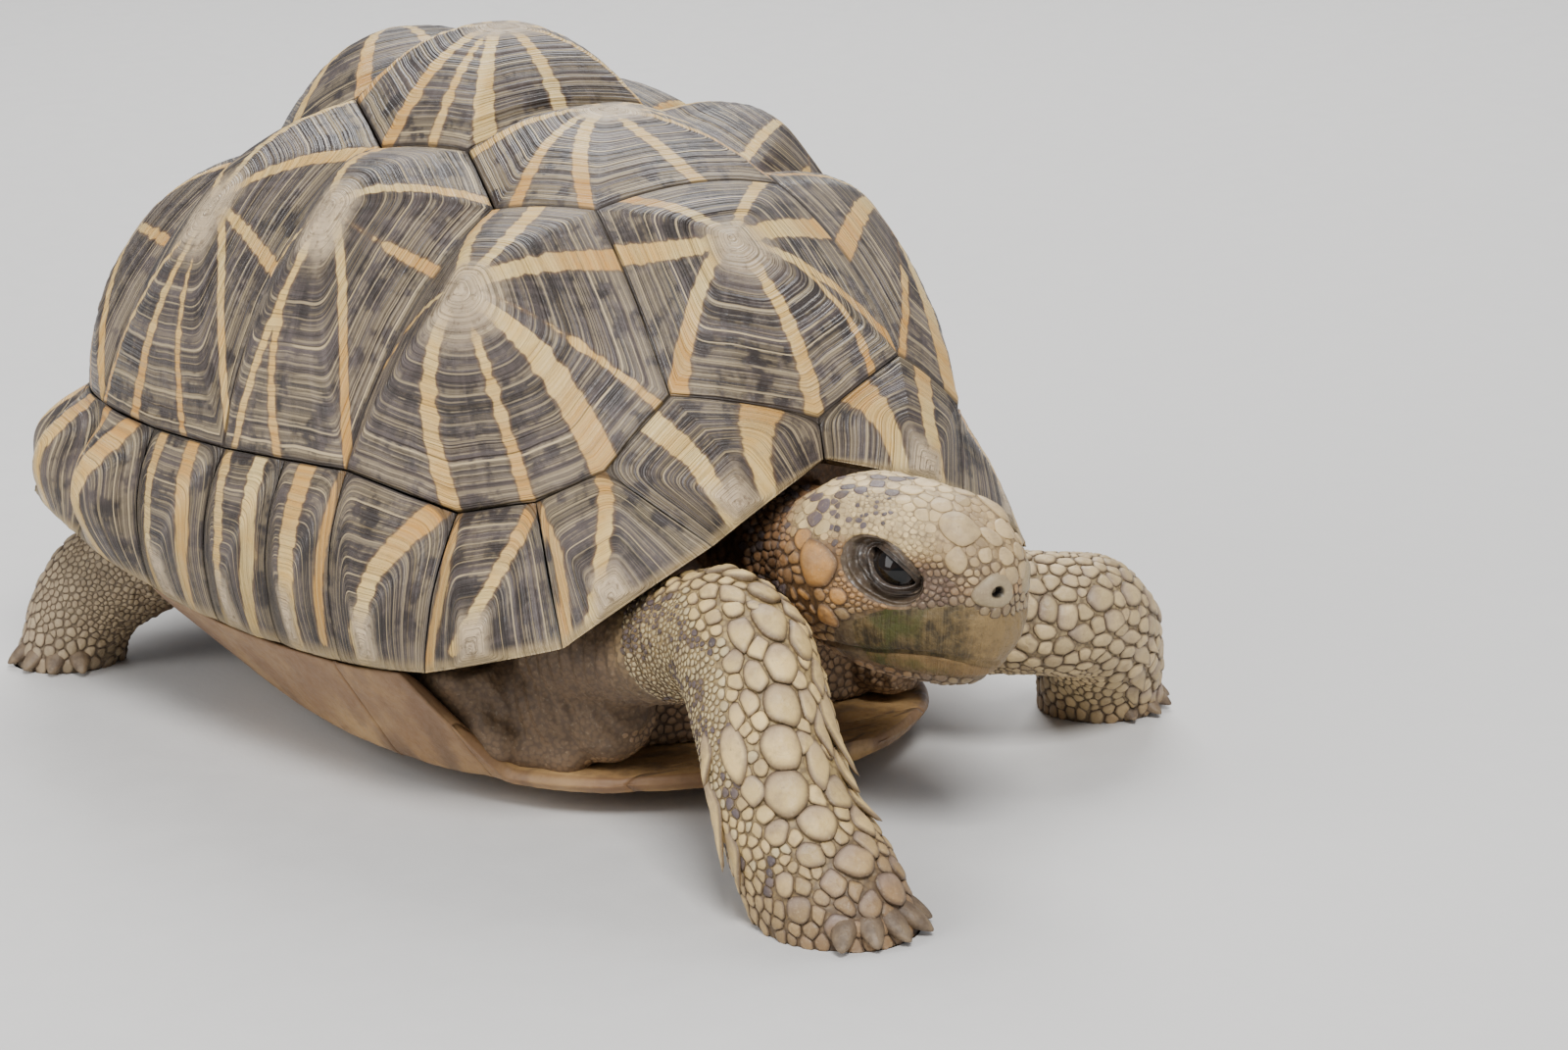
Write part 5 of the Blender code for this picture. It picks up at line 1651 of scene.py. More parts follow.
def eye_piece(side, material):
    """An eyeball whose cornea stands a little proud, looking out sideways and ahead."""
    centre = head_point(EYE_PLACE[0], side * EYE_PLACE[1], EYE_PLACE[2])
    look_at = unit(head_world((9.5, side * 22.0, 1.5)) - centre)
    across = unit(np.cross(look_at, (0, 0, 1)))
    up = np.cross(across, look_at)
    count, rows = 64, 44
    points = [centre + look_at * (EYE_RADIUS + 0.35)]
    off = [0.0]
    for r in range(1, rows):
        polar = math.pi * r / rows
        radius = EYE_RADIUS + 0.35 * math.exp(-(polar / 0.62) ** 4)
        for k in range(count):
            turn = 2 * math.pi * k / count
            points.append(centre + radius * (look_at * math.cos(polar) + math.sin(polar)
                                             * (across * math.cos(turn) + up * math.sin(turn))))
            off.append(polar)
    points.append(centre - look_at * EYE_RADIUS)
    off.append(math.pi)
    hub = len(points) - 1
    tris = np.vstack([fan(0, 1, count)[:, [1, 2, 0]],
                      fan(hub, hub - count, count)[:, [2, 1, 0]]])
    quads = ring_quads(rows - 1, count, 1)[:, ::-1]
    mesh = make_mesh("eyeball", place(np.array(points)), quads, tris)
    turn_outwards(mesh)
    give(mesh, "off_axis", off)
    name = side_name(side)
    return make_piece("eyeball_" + name, mesh, material, "eye", "eye_" + name)


# ---- scales -------------------------------------------------------------------------------------
# Large scales down the front of the right foreleg: distance along the limb and turn round it,
# then width and length
FORE_SCALES = [
    (50.5, -80, 10.0, 6.0), (54.2, -77, 9.5, 6.6), (58.4, -72, 8.6, 7.2), (63.9, -87, 7.2, 9.0),
    (71.2, -93, 7.0, 8.2), (78.9, -101, 7.6, 9.0), (86.9, -112, 9.2, 9.2), (95.4, -119, 9.2, 9.2),
    (103.6, -105, 8.4, 7.6), (112.3, -92, 9.6, 6.8), (120.0, -72, 7.4, 6.6),
    (58.5, -106, 4.3, 6.2), (64.5, -117, 4.7, 6.6), (60.6, -94, 2.6, 2.6), (68.6, -108, 4.2, 5.4),
    (73.4, -117, 4.9, 5.8), (69.0, -134, 3.8, 4.6), (77.4, -129, 3.4, 5.2),
    (79.8, -142, 3.2, 4.8), (85.0, -152, 4.8, 8.6), (60.5, -55, 4.8, 8.0), (66.4, -66, 6.0, 8.6),
    (74.6, -80, 3.2, 3.4), (78.4, -77, 4.6, 6.4), (86.2, -90, 4.2, 5.4), (91.8, -84, 5.2, 9.0),
    (98.4, -74, 5.8, 6.8), (105.4, -62, 5.2, 6.4), (110.2, -74, 4.8, 5.4), (108.6, -122, 5.4, 5.2),
    (102.2, -139, 4.8, 4.8), (92.0, -147, 3.8, 5.2), (115.4, -116, 5.0, 5.0),
    (116.0, -150, 5.0, 5.0), (110.0, -150, 4.0, 4.4), (121.6, -98, 5.0, 4.6),
    (122.0, -130, 5.2, 4.8), (117.0, -52, 5.0, 5.0)]
# Pointed scales that stand off the limb: place, width, length, and how far the tip lifts
SPURS = [(72.5, -54, 3.4, 9.5, 1.6), (81.0, -50, 4.2, 11.0, 2.2), (84.0, -66, 3.2, 8.0, 1.4),
         (91.5, -46, 3.8, 10.5, 2.4), (99.0, -44, 3.4, 8.5, 2.0), (92.0, 168, 3.2, 9.5, 2.2),
         (101.0, 174, 3.0, 7.5, 1.8), (83.0, 178, 2.8, 6.5, 1.5)]
# Named scales of the head: ahead, sideways, up, width and length, height
HEAD_SCALES = [
    (-11.8, 15.7, 1.9, 11.0, 11.4, 0.9), (-6.6, 16.0, -3.6, 4.2, 4.4, 0.7),
    (-9.3, 15.4, -8.0, 5.8, 5.6, 0.8), (-15.5, 14.5, -5.5, 4.6, 4.6, 0.6),
    (-17.0, 14.0, 6.0, 4.6, 4.6, 0.5), (15.2, 7.2, 12.3, 9.4, 9.8, 0.85),
    (17.0, 10.6, 6.4, 5.8, 5.6, 0.65), (20.3, 2.6, 10.2, 5.2, 5.4, 0.55),
    (21.3, 6.6, 7.6, 3.4, 3.2, 0.5), (23.6, 2.4, 6.4, 4.6, 4.4, 0.55),
    (24.4, 2.1, 3.0, 4.0, 5.0, 0.45), (9.6, 4.4, 14.6, 4.8, 4.8, 0.35),
    (2.0, 3.0, 17.0, 5.2, 5.6, 0.3)]


# Spurs of a hind leg: place as a share of its length, and turn round it
HIND_SPURS = [(0.62, -60), (0.7, -35), (0.66, -85)]
# Kinds of scales: those that fill the skin, large ones of a leg, spurs, and named ones of the
# head
FILLING, LARGE, SPUR, NAMED = range(4)
# Sizes of scales by radius, and for each size the spokes and rings of its mesh
SCALE_SIZES = (0.66, 1.25, 2.3)
SCALE_PLANS = ((7, (0.60, 1.0)), (10, (0.55, 0.88, 1.0)), (16, (0.35, 0.65, 0.88, 1.0)),
               (30, (0.18, 0.36, 0.54, 0.70, 0.84, 0.94, 1.0)))
SCALE_GAP = 0.16
# How far a scale reaches on the unwrap
UNWRAP_SPOT = 0.0013
# The most triangles in one mesh of scales
MOST_FACES = 185000
# Width of a cell of the grid that keeps scales apart, and the cells round one, itself included
GRID_CELL = 3.0
NEIGHBOURS = [(x, y, z) for x in (-1, 0, 1) for y in (-1, 0, 1) for z in (-1, 0, 1)]


class Seeds:
    """The places where scales grow, each with its size, lie and height."""

    FIELDS = ("at", "radius", "stretch", "height", "overlap", "lift", "kind")

    def __init__(self, surface):
        self.surface = surface
        self.rows = {field: [] for field in self.FIELDS}

    def add(self, point, width, length, height, overlap, lift, kind):
        hit = self.surface.find_nearest(Vector(point))
        if hit[0] is None:
            return
        values = (np.array(hit[0]), math.sqrt(width * length) / 2, length / width, height,
                  overlap, lift, kind)
        for field, value in zip(self.FIELDS, values):
            self.rows[field].append(value)

    def arrays(self):
        return {field: np.array(values) for field, values in self.rows.items()}


def seed_limb(seeds, limb, along, degrees, *sizes):
    """One scale at a place along and round a limb."""
    turn = math.radians(degrees)
    i = int(np.argmin(np.abs(limb.length - along)))
    out = limb.side[i] * math.cos(turn) + limb.up[i] * math.sin(turn)
    start = limb.centre[i] + out * (limb.across[i] * 2.2)
    hit = seeds.surface.ray_cast(Vector(start), Vector(-out))
    if hit[0]:
        seeds.add(np.array(hit[0]), *sizes)


def explicit_seeds(seeds, atlas):
    """The large scales and the spurs of the legs, and the named scales of the head."""
    right = atlas.limbs["leg_fore_right"]
    left = atlas.limbs["leg_fore_left"]
    share = left.length[-1] / right.length[-1]
    for along, degrees, width, length in FORE_SCALES:
        size = math.sqrt(width * length) / 2
        seed_limb(seeds, right, along, degrees,
                  width * 1.09, length * 1.09, 0.32 * size, 0.55, 0.35, LARGE)
        seed_limb(seeds, left, along * share, -60 - degrees,
                  width * 0.82, length * 0.72, 0.26 * size, 0.5, 0.3, LARGE)
    for along, degrees, width, length, lift in SPURS:
        seed_limb(seeds, right, along, degrees,
                  width * 1.25, length * 1.1, 0.8, 0.9, lift, SPUR)
        seed_limb(seeds, left, along * share, -60 - degrees,
                  width * 0.85, length * 0.7, 0.6, 0.8, lift * 0.7, SPUR)
    for name in ("leg_hind_right", "leg_hind_left"):
        limb = atlas.limbs[name]
        for part, degrees in HIND_SPURS:
            seed_limb(seeds, limb, limb.length[-1] * part, degrees, 3.4, 5.6, 0.6, 0.7, 1.2, SPUR)
    for ahead, sideways, height, width, length, rise in HEAD_SCALES:
        for side in (-1, 1):
            seeds.add(head_world((ahead, side * sideways, height)), width, length, rise, 0.0,
                      0.0, NAMED)


def head_radius(local, along):
    """As fill_radius, over the head; nothing grows on lids, horn and lips."""
    a, l, u = local.T
    side = np.abs(l)
    head = np.where(along < 26.0, 0.0, 0.86)
    crown = smoothstep(6.0, 10.0, u) * smoothstep(-24, -16, a)
    head = head + (1.25 - head) * crown * (along > 26)
    cheek = smoothstep(9, 13, side) * (a > -22) * (a < 0) * (u < 4)
    head = head + (1.15 - head) * np.clip(cheek, 0, 1) * (along > 26)
    eye = lid_distance(a, u)
    head = np.where((eye < 2.0) & (side > 7) & (a > -12), 0.52, head)
    head = np.where((eye < 1.02) & (side > 7), 0.0, head)
    snout = (a > 12.5) & (u > -3.0)
    head = np.where(snout, 0.85, head)
    loreal_dark = (a > 9.5) & (a < 17.0) & (u > -3.5) & (u < 5.5) & (side > 8)
    head = np.where(loreal_dark, 0.62, head)
    beak = (a > -9.5) & (u < read(BEAK_TOP, a) + 0.2) & (u > read(JAW_LOW, a) - 0.2)
    head = np.where(beak, 0.0, head)
    lip = (np.abs(u - read(MOUTH_LINE, a)) < 0.8) & (a > -17)
    head = np.where(lip, 0.0, head)
    pit = np.hypot(np.hypot(a - NOSTRIL[0], side - NOSTRIL[1] - 1.2), u - NOSTRIL[2]) < 4.1
    return np.where(pit, 0.0, head)


def fill_radius(points, atlas):
    """Half the spacing wanted between scales at each point; 0 where none grow."""
    region = atlas.regions(points)
    radius = np.zeros(len(points))
    soft = noise_at(points, 0.10)
    for name, front, start in (("leg_fore_right", -72, 34.0), ("leg_fore_left", 20, 21.0),
                               ("leg_hind_right", 10, 8.0), ("leg_hind_left", 10, 8.0)):
        limb = atlas.limbs[name]
        mask = atlas.on(name, region)
        along, angle, _, _ = limb.locate(points)
        end = limb.length[-1]
        facing = np.cos(angle - math.radians(front))
        fine = 0.53 if name == "leg_fore_right" else 0.72
        wide = 1.74 if "fore" in name else 1.49
        wide = fine + (wide - fine) * smoothstep(0.12, 0.72, facing + 0.3 * soft)
        low = smoothstep(0.62 * end, 0.86 * end, along)
        wide = wide + (1.45 - wide) * low * 0.8
        root = min(fine, 0.70)
        wide = root + (wide - root) * smoothstep(start, start + 14.0, along)
        wide = np.where(along < start, 0.0, wide)
        radius = np.where(mask, wide, radius)
    mask = atlas.on("tail", region)
    along = atlas.limbs["tail"].locate(points)[0]
    radius = np.where(mask & (along > 12), 1.0, radius)
    along = atlas.limbs["head"].locate(points)[0]
    radius = np.where(atlas.on("head", region), head_radius(head_local(points), along), radius)
    mask = atlas.on("trunk", region) & (np.abs(points[:, 1]) > HIDDEN_REACH)
    mask &= np.abs(points[:, 0]) + 14.0 * soft < 42.0
    mask &= (points[:, 2] < 40.0) & (points[:, 2] > PLASTRON_BOTTOM + PLASTRON_THICK + 0.5)
    radius = np.where(mask, 0.88 - 0.28 * smoothstep(20.0, 42.0, np.abs(points[:, 0])), radius)
    radius = radius * (1.0 + 0.25 * soft)
    return np.where(points[:, 2] < GROUND + 1.2, 0.0, radius)


def crowded(grid, key, spot, size):
    """Whether a scale would come too close to one that is there already."""
    x, y, z = spot
    for dx, dy, dz in NEIGHBOURS:
        for px, py, pz, other in grid.get((key[0] + dx, key[1] + dy, key[2] + dz), ()):
            gap = 0.86 * (size + other)
            if (px - x) ** 2 + (py - y) ** 2 + (pz - z) ** 2 < gap * gap:
                return True
    return False


def fill_seeds(seeds, mesh, points, atlas):
    """Scatters scales of the wanted size over the skin, none too close to another."""
    rng = np.random.default_rng(7)
    mesh.calc_loop_triangles()
    corner = np.empty(len(mesh.loop_triangles) * 3, np.int32)
    mesh.loop_triangles.foreach_get("vertices", corner)
    corner = corner.reshape(-1, 3)
    a, b, c = (points[corner[:, k]] for k in range(3))
    middle = (a + b + c) / 3
    radius = fill_radius(middle, atlas)
    area = np.linalg.norm(np.cross(b - a, c - a), axis=1) / 2
    wanted = np.where(radius > 0, area / np.maximum(radius, 0.5) ** 2, 0.0)
    total = int(wanted.sum() * 2.6)
    pick = rng.choice(len(corner), total, p=wanted / wanted.sum())
    s, t = rng.random(total), rng.random(total)
    flip = s + t > 1
    s[flip], t[flip] = 1 - s[flip], 1 - t[flip]
    spots = a[pick] + (b - a)[pick] * s[:, None] + (c - a)[pick] * t[:, None]
    size = fill_radius(spots, atlas) * rng.uniform(0.82, 1.22, total)
    kept = seeds.arrays()
    free = size > 0
    local = head_local(spots)
    crown = smoothstep(4.0, 9.0, local[:, 2]) * (np.hypot(local[:, 0], local[:, 1]) < 34)
    jaw = smoothstep(-12.0, -17.0, local[:, 2]) * (np.hypot(local[:, 0], local[:, 1]) < 30)
    bare = smoothstep(16.0, 40.0, np.abs(spots[:, 0])) * atlas.on("trunk", atlas.regions(spots))
    lowness = 1.0 - 0.72 * crown - 0.45 * jaw - 0.7 * bare
    for at, big, kind in zip(kept["at"], kept["radius"], kept["kind"]):
        reach = big * (1.0 if kind == SPUR else 0.98)
        free &= np.linalg.norm(spots - at, axis=1) > reach + 0.62 * size
    grid = {}
    order = np.argsort(-size + rng.uniform(0, 0.5, total), kind="stable")
    for i in order:
        x, y, z = spots[i]
        key = (int(x // GRID_CELL), int(y // GRID_CELL), int(z // GRID_CELL))
        if free[i] and not crowded(grid, key, (x, y, z), size[i]):
            grid.setdefault(key, []).append((x, y, z, size[i]))
            wide = 2 * size[i]
            low = lowness[i]
            seeds.add((x, y, z), wide, wide * rng.uniform(0.95, 1.3), 0.40 * size[i] * low,
                      0.3 * low, 0.12 * low, FILLING)


def lie_of(points, normals, atlas):
    """The way the free edge of a scale points: down the legs, back over the head."""
    region = atlas.regions(points)
    lie = np.zeros_like(points)
    for i, name in enumerate(atlas.names):
        mask = region == i
        if not mask.any():
            continue
        limb = atlas.limbs[name]
        at = limb.locate(points[mask])[3]
        lie[mask] = limb.forward[at] * (-1.0 if name == "head" else 1.0)
    lie -= normals * (lie * normals).sum(1, keepdims=True)
    return unit(lie + 1e-6)


def smooth_normals(surface, points):
    """Skin normals averaged a little round each point."""
    spread = 0.8
    total = np.zeros_like(points)
    for shift in ((0, 0, 0), (spread, 0, 0), (-spread, 0, 0), (0, spread, 0), (0, -spread, 0),
                  (0, 0, spread), (0, 0, -spread)):
        for i, p in enumerate(points + np.array(shift)):
            total[i] += surface.find_nearest(Vector(p))[1]
    return unit(total)


def cell_outline(seeds, turns, lie, across):
    """How far each scale reaches at each turn: halfway to its neighbours, corners rounded."""
    at, radius, stretch = seeds["at"], seeds["radius"], seeds["stretch"]
    count = len(at)
    tree = KDTree(count)
    for i, p in enumerate(at):
        tree.insert(Vector(p), i)
    tree.balance()
    close = 15
    near = np.zeros((count, close), int)
    for i, p in enumerate(at):
        found = tree.find_n(Vector(p), close + 1)
        ids = [f[1] for f in found if f[1] != i][:close]
        near[i, :len(ids)] = ids
        near[i, len(ids):] = ids[-1]
    away = at[near] - at[:, None]
    x = (away * across[:, None]).sum(-1)
    y = (away * lie[:, None]).sum(-1) / stretch[:, None]
    distance = np.hypot(x, y).clip(0.3)
    phi = np.arctan2(y, x)
    reach = (distance ** 2 + radius[:, None] ** 2 - radius[near] ** 2) / (2 * distance)
    reach = np.maximum(reach, 0.35 * distance) - SCALE_GAP / 2
    reach = np.maximum(reach, 0.25)
    facing = np.cos(turns[None, None] - phi[..., None]).clip(0) / reach[..., None]
    sharp = 10
    own = (1.0 / (1.28 * radius)) ** sharp
    return (np.sum(facing ** sharp, 1) + own[:, None]) ** (-1.0 / sharp)


def scale_tints(data, atlas, rng):
    """The colour of each scale, and how flat it is lit."""
    at, kind = data["at"], data["kind"]
    local = head_local(at)
    tint = flesh_tint(at, atlas) * rng.uniform(0.80, 1.16, (len(at), 1))
    region = atlas.regions(at)
    on_head = atlas.on("head", region)
    cheek = on_head & (kind == NAMED) & (local[:, 0] < -5)
    tint[cheek] = np.array([0.50, 0.25, 0.075])
    nose = on_head & (kind == NAMED) & (local[:, 0] > 7)
    tint[nose] = np.array([0.54, 0.385, 0.19]) * rng.uniform(0.85, 1.1, (nose.sum(), 1))
    # Scales between the eye and the nostril, over the hollow there, are painted dark brown.
    loreal_dark = on_head * smoothstep(6.0, 10.0, local[:, 0]) * smoothstep(21.0, 15.5, local[:, 0])
    loreal_dark = loreal_dark * smoothstep(7.0, 3.5, local[:, 2])
    loreal_dark = loreal_dark * smoothstep(6.5, 9.0, np.abs(local[:, 1]))
    loreal_dark = (loreal_dark * (kind != NAMED) * rng.uniform(0.45, 1.0, len(at)))[:, None]
    tint = tint * (1 - loreal_dark) + np.array([0.11, 0.064, 0.048]) * loreal_dark
    specks = rng.random(len(at))
    crown = on_head & (local[:, 2] > 7) & (local[:, 0] < 2) & (kind != NAMED)
    dark = crown & (specks < 0.20)
    dark |= on_head & (local[:, 0] < -19) & (specks < 0.22)
    turn = atlas.limbs["leg_fore_right"].locate(at)[1]
    grain = atlas.on("leg_fore_right", region) & (kind == FILLING)
    grain &= (np.cos(turn - math.radians(-170)) > 0.2) & (data["radius"] < 1.15)
    tint[grain] = tint[grain] * 0.4 + np.array([0.50, 0.42, 0.235]) * 0.6
    dark |= grain & (specks < 0.30 + 0.8 * noise_at(at, 0.14))
    tint[dark] = np.array([0.085, 0.062, 0.062]) * rng.uniform(0.8, 1.5, (dark.sum(), 1))
    flat = on_head * np.clip(smoothstep(5.0, 9.0, local[:, 2]) + 0.7 * nose, 0, 1)
    return tint, flat


def scale_shapes(data, ids, plan, lies, surface):
    """The meshes of the scales of one size, each a low pillow with a free edge that stands up.

    Gives points, quads, triangles, the scale that each point is on, how far out on it the point
    lies, how far towards its free edge, and its place across and along it.
    """
    spokes, rings = plan
    normals, lie, across = lies
    turns = circle(spokes)
    outline = cell_outline(data, turns, lie, across)[ids]
    count = len(ids)
    levels = np.array(rings + (0.9,))
    stretch, lap, lift, height, size = (
        data[field][ids, None, None]
        for field in ("stretch", "overlap", "lift", "height", "radius"))
    spur = (data["kind"][ids] == SPUR)[:, None, None]
    px = (outline * np.cos(turns))[:, None] * levels[:, None]
    py = (outline * np.sin(turns))[:, None] * levels[:, None]
    free = np.clip(py / size, -1.0, 1.4)
    px = np.where(spur, px * (1.0 - 0.62 * np.clip(free, 0, 1.3) ** 1.4), px)
    py = py * stretch * (1.0 + 0.30 * lap * np.clip(free, 0, 1))
    pillow = np.array([(1 - rho ** 2.8) ** 0.75 for rho in rings] + [0.0])
    rise = height * (0.30 + 0.70 * pillow)[:, None] + (
        lift * np.clip(free, 0, 1.3) ** 1.3 + 0.22 * lap * free * size ** 0.3)
    rise[:, -1] = np.where(spur[:, 0], rise[:, -2] - 0.9, -0.40)
    rise[:, -1] = np.where(np.clip(free[:, -1], 0, 2) * (lift[:, 0] > 0.8) > 0.3,
                           rise[:, -2] - 0.8, rise[:, -1])
    ridge = 0.10 * height * np.cos(np.arctan2(py, px) * 3 + ids[:, None, None])
    rise[:, :-1] += ridge[:, :-1] * 0.6
    at = data["at"][ids]
    spots = (at[:, None, None] + px[..., None] * across[ids][:, None, None]
             + py[..., None] * lie[ids][:, None, None]).reshape(-1, 3)
    owner = np.repeat(ids, len(levels) * spokes)
    hits = [surface.find_nearest(Vector(p)) for p in spots]
    based = np.array([hit[0] for hit in hits], float)
    bent = unit(np.array([hit[1] for hit in hits], float) * 0.35 + normals[owner])
    stray = np.linalg.norm(based - spots, axis=1)
    based = np.where((stray > 1.1 * data["radius"][owner])[:, None], spots, based)
    points = np.vstack([based + bent * rise.reshape(-1, 1),
                        at + normals[ids] * (height[:, 0] + 0.02), at - normals[ids] * 0.5])
    start = np.arange(count) * len(levels) * spokes
    quads = ring_quads(len(levels), spokes)[:, [0, 3, 2, 1]].reshape(-1, 1, spokes, 4)
    quads = (quads + start[:, None, None]).reshape(-1, 4)
    hub = len(spots)
    tops = [fan(hub + i, first, spokes) for i, first in enumerate(start)]
    bottoms = [fan(hub + count + i, first + (len(levels) - 1) * spokes, spokes)[:, [0, 2, 1]]
               for i, first in enumerate(start)]
    centres = np.zeros(2 * count)
    rho = np.concatenate([np.tile(np.repeat(levels, spokes), count), np.zeros(count),
                          np.ones(count)])
    free = np.concatenate([free.ravel(), centres])
    across_it = np.concatenate([(px / size).ravel(), centres])
    along_it = np.concatenate([(py / size / stretch).ravel(), centres])
    return (points, quads, np.vstack(tops + bottoms), np.concatenate([owner, ids, ids]), rho,
            free, np.stack([across_it, along_it], 1))


def scale_meshes(seeds, atlas, surface, material):
    """All scales, as one coat piece for the head, the neck, each limb and the body."""
    data = seeds.arrays()
    at = data["at"]
    normals = smooth_normals(surface, at)
    lie = lie_of(at, normals, atlas)
    lies = (normals, lie, np.cross(lie, normals))
    tint, flat = scale_tints(data, atlas, np.random.default_rng(11))
    region = atlas.regions(at)
    root = atlas.uv(at, region)
    ahead = head_local(at)[:, 0]
    on_head = atlas.on("head", region)
    on_limb = (~on_head) & (data["kind"] != FILLING)
    pieces = []
    sizes = np.searchsorted(SCALE_SIZES, data["radius"])
    for number, plan in enumerate(SCALE_PLANS):
        points, quads, tris, owner, rho, free, on_it = scale_shapes(
            data, np.flatnonzero(sizes == number), plan, lies, surface)
        # The covered, upper half of each large limb scale is painted purple-grey. This is partly
        # the scales' own tone and partly painted shade under the free edge of the scale above.
        overlap_shade = (on_limb[owner] * (1 - smoothstep(-0.9, 0.25, free)) * 0.55)[:, None]
        colour = tint[owner] * (1 - overlap_shade) + np.array([0.25, 0.185, 0.175]) * overlap_shade
        pieces.append((points, quads, tris, owner, colour, rho * (1.0 - 0.22 * flat)[owner],
                       root[owner] + UNWRAP_SPOT * on_it.clip(-1.1, 1.1)))
    groups = {"head": on_head & (ahead > -19), "neck": on_head & (ahead <= -19)}
    for name in LIMBS:
        groups[name] = atlas.on(name, region)
    groups["body"] = atlas.on("trunk", region)
    for name, chosen in groups.items():
        join_scales("scales_" + name, chosen, pieces, material)


def join_scales(name, chosen, pieces, material):
    """One coat piece from the scales chosen, in as many meshes as its faces need."""
    columns = [[] for _ in range(6)]
    base = 0
    for points, quads, tris, owner, colour, level, spot in pieces:
        keep = chosen[owner]
        number = np.cumsum(keep) - 1 + base
        parts = (points[keep], number[quads[keep[quads[:, 0]]]], number[tris[keep[tris[:, 0]]]],
                 colour[keep], level[keep], spot[keep])
        for column, part in zip(columns, parts):
            column.append(part)
        base += int(keep.sum())
    points, quads, tris, tint, rho, uv = (np.concatenate(column) for column in columns)
    if not len(points):
        return
    if 2 * len(quads) + len(tris) > MOST_FACES:
        middle = chosen.copy()
        where = np.flatnonzero(chosen)
        middle[where[len(where) // 2:]] = False
        join_scales(name + "_a", middle, pieces, material)
        join_scales(name + "_b", chosen & ~middle, pieces, material)
        return
    mesh = make_mesh(name, place(points), quads, tris)
    give_colour(mesh, "tint", tint)
    give(mesh, "rho", rho)
    give_unwrap(mesh, uv[corner_vertices(mesh)])
    make_piece(name, mesh, material, "skin")


# ---- horn of the mouth, nostrils and claws ------------------------------------------------------
# Rings of a nostril's scale, from the pit outwards: share of its reach, and how proud of the skin
NOSTRIL_RINGS = ((0.05, -2.6), (0.14, -2.3), (0.21, -1.5), (0.26, -0.5), (0.31, 0.15),
                 (0.38, 0.40), (0.50, 0.50), (0.64, 0.46), (0.78, 0.34), (0.90, 0.16),
                 (0.98, 0.0), (1.0, -0.5), (0.8, -1.4))
CLAW_LENGTH = 7.8


def beak_piece(name, upper, surface, material):
    """A horny sheath on the edge of a jaw, from one corner of the mouth round to the other."""
    stations, rows = 170, 18
    turns = np.radians(np.linspace(-131, 131, stations))
    outer = np.zeros((stations, rows, 3))
    inner = np.zeros((stations, rows, 3))

    def cast(turn, u):
        start = head_world((6.0, 0.0, u))
        way = math.cos(turn) * HEAD_AXES[0] + math.sin(turn) * HEAD_AXES[1]
        hit = surface.ray_cast(Vector(start), Vector(way))
        return (np.array(hit[0]), way) if hit[0] else (start + way * 12.0, way)

    for i, turn in enumerate(turns):
        ahead = head_local(cast(turn, -10.0)[0])[0]
        fade = smoothstep(0.0, 0.16, min(i, stations - 1 - i) / stations)
        front = math.exp(-(turn / 0.22) ** 2)
        mouth = read(MOUTH_LINE, ahead) - (0.5 * front if upper else 0.0)
        if upper:
            first, last = read(BEAK_TOP, ahead), mouth - 0.25
        else:
            first, last = mouth - 0.15, read(JAW_LOW, ahead) + 0.5 * (1 - fade)
        ridge = noise.noise((turn * 14.0, 3.0, 0.0)) * 0.10
        ridge += noise.noise((turn * 34.0, 7, 0)) * 0.05
        for j in range(rows):
            w = j / (rows - 1)
            spot, way = cast(turn, first + (last - first) * w)
            if upper:
                thick = 0.75 * smoothstep(0.0, 0.30, w) + 0.25 * w + 0.35 * front * w
            else:
                thick = 0.30 + 0.45 * smoothstep(1.0, 0.6, w) - 0.5 * smoothstep(0.8, 1.0, w)
            thick = (thick + ridge) * (0.25 + 0.75 * fade) - 0.3 * (1 - fade)
            outer[i, j] = spot + way * thick
            inner[i, j] = spot - way * 0.9
    ring = np.concatenate([outer, inner[:, ::-1]], 1)
    around = 2 * rows
    quads = ring_quads(stations, around)
    caps = []
    for base in (0, (stations - 1) * around):
        for j in range(rows - 1):
            quad = [base + j, base + j + 1, base + around - 2 - j, base + around - 1 - j]
            caps.append(quad if base else quad[::-1])
    mesh = make_mesh(name, place(ring.reshape(-1, 3)), np.vstack([quads, caps]))
    turn_outwards(mesh)
    give(mesh, "turn", np.repeat(turns, around))
    give(mesh, "ahead", head_local(ring.reshape(-1, 3))[:, 0])
    give(mesh, "upper", np.full(stations * around, float(upper)))
    return make_piece(name, mesh, material, "beak")


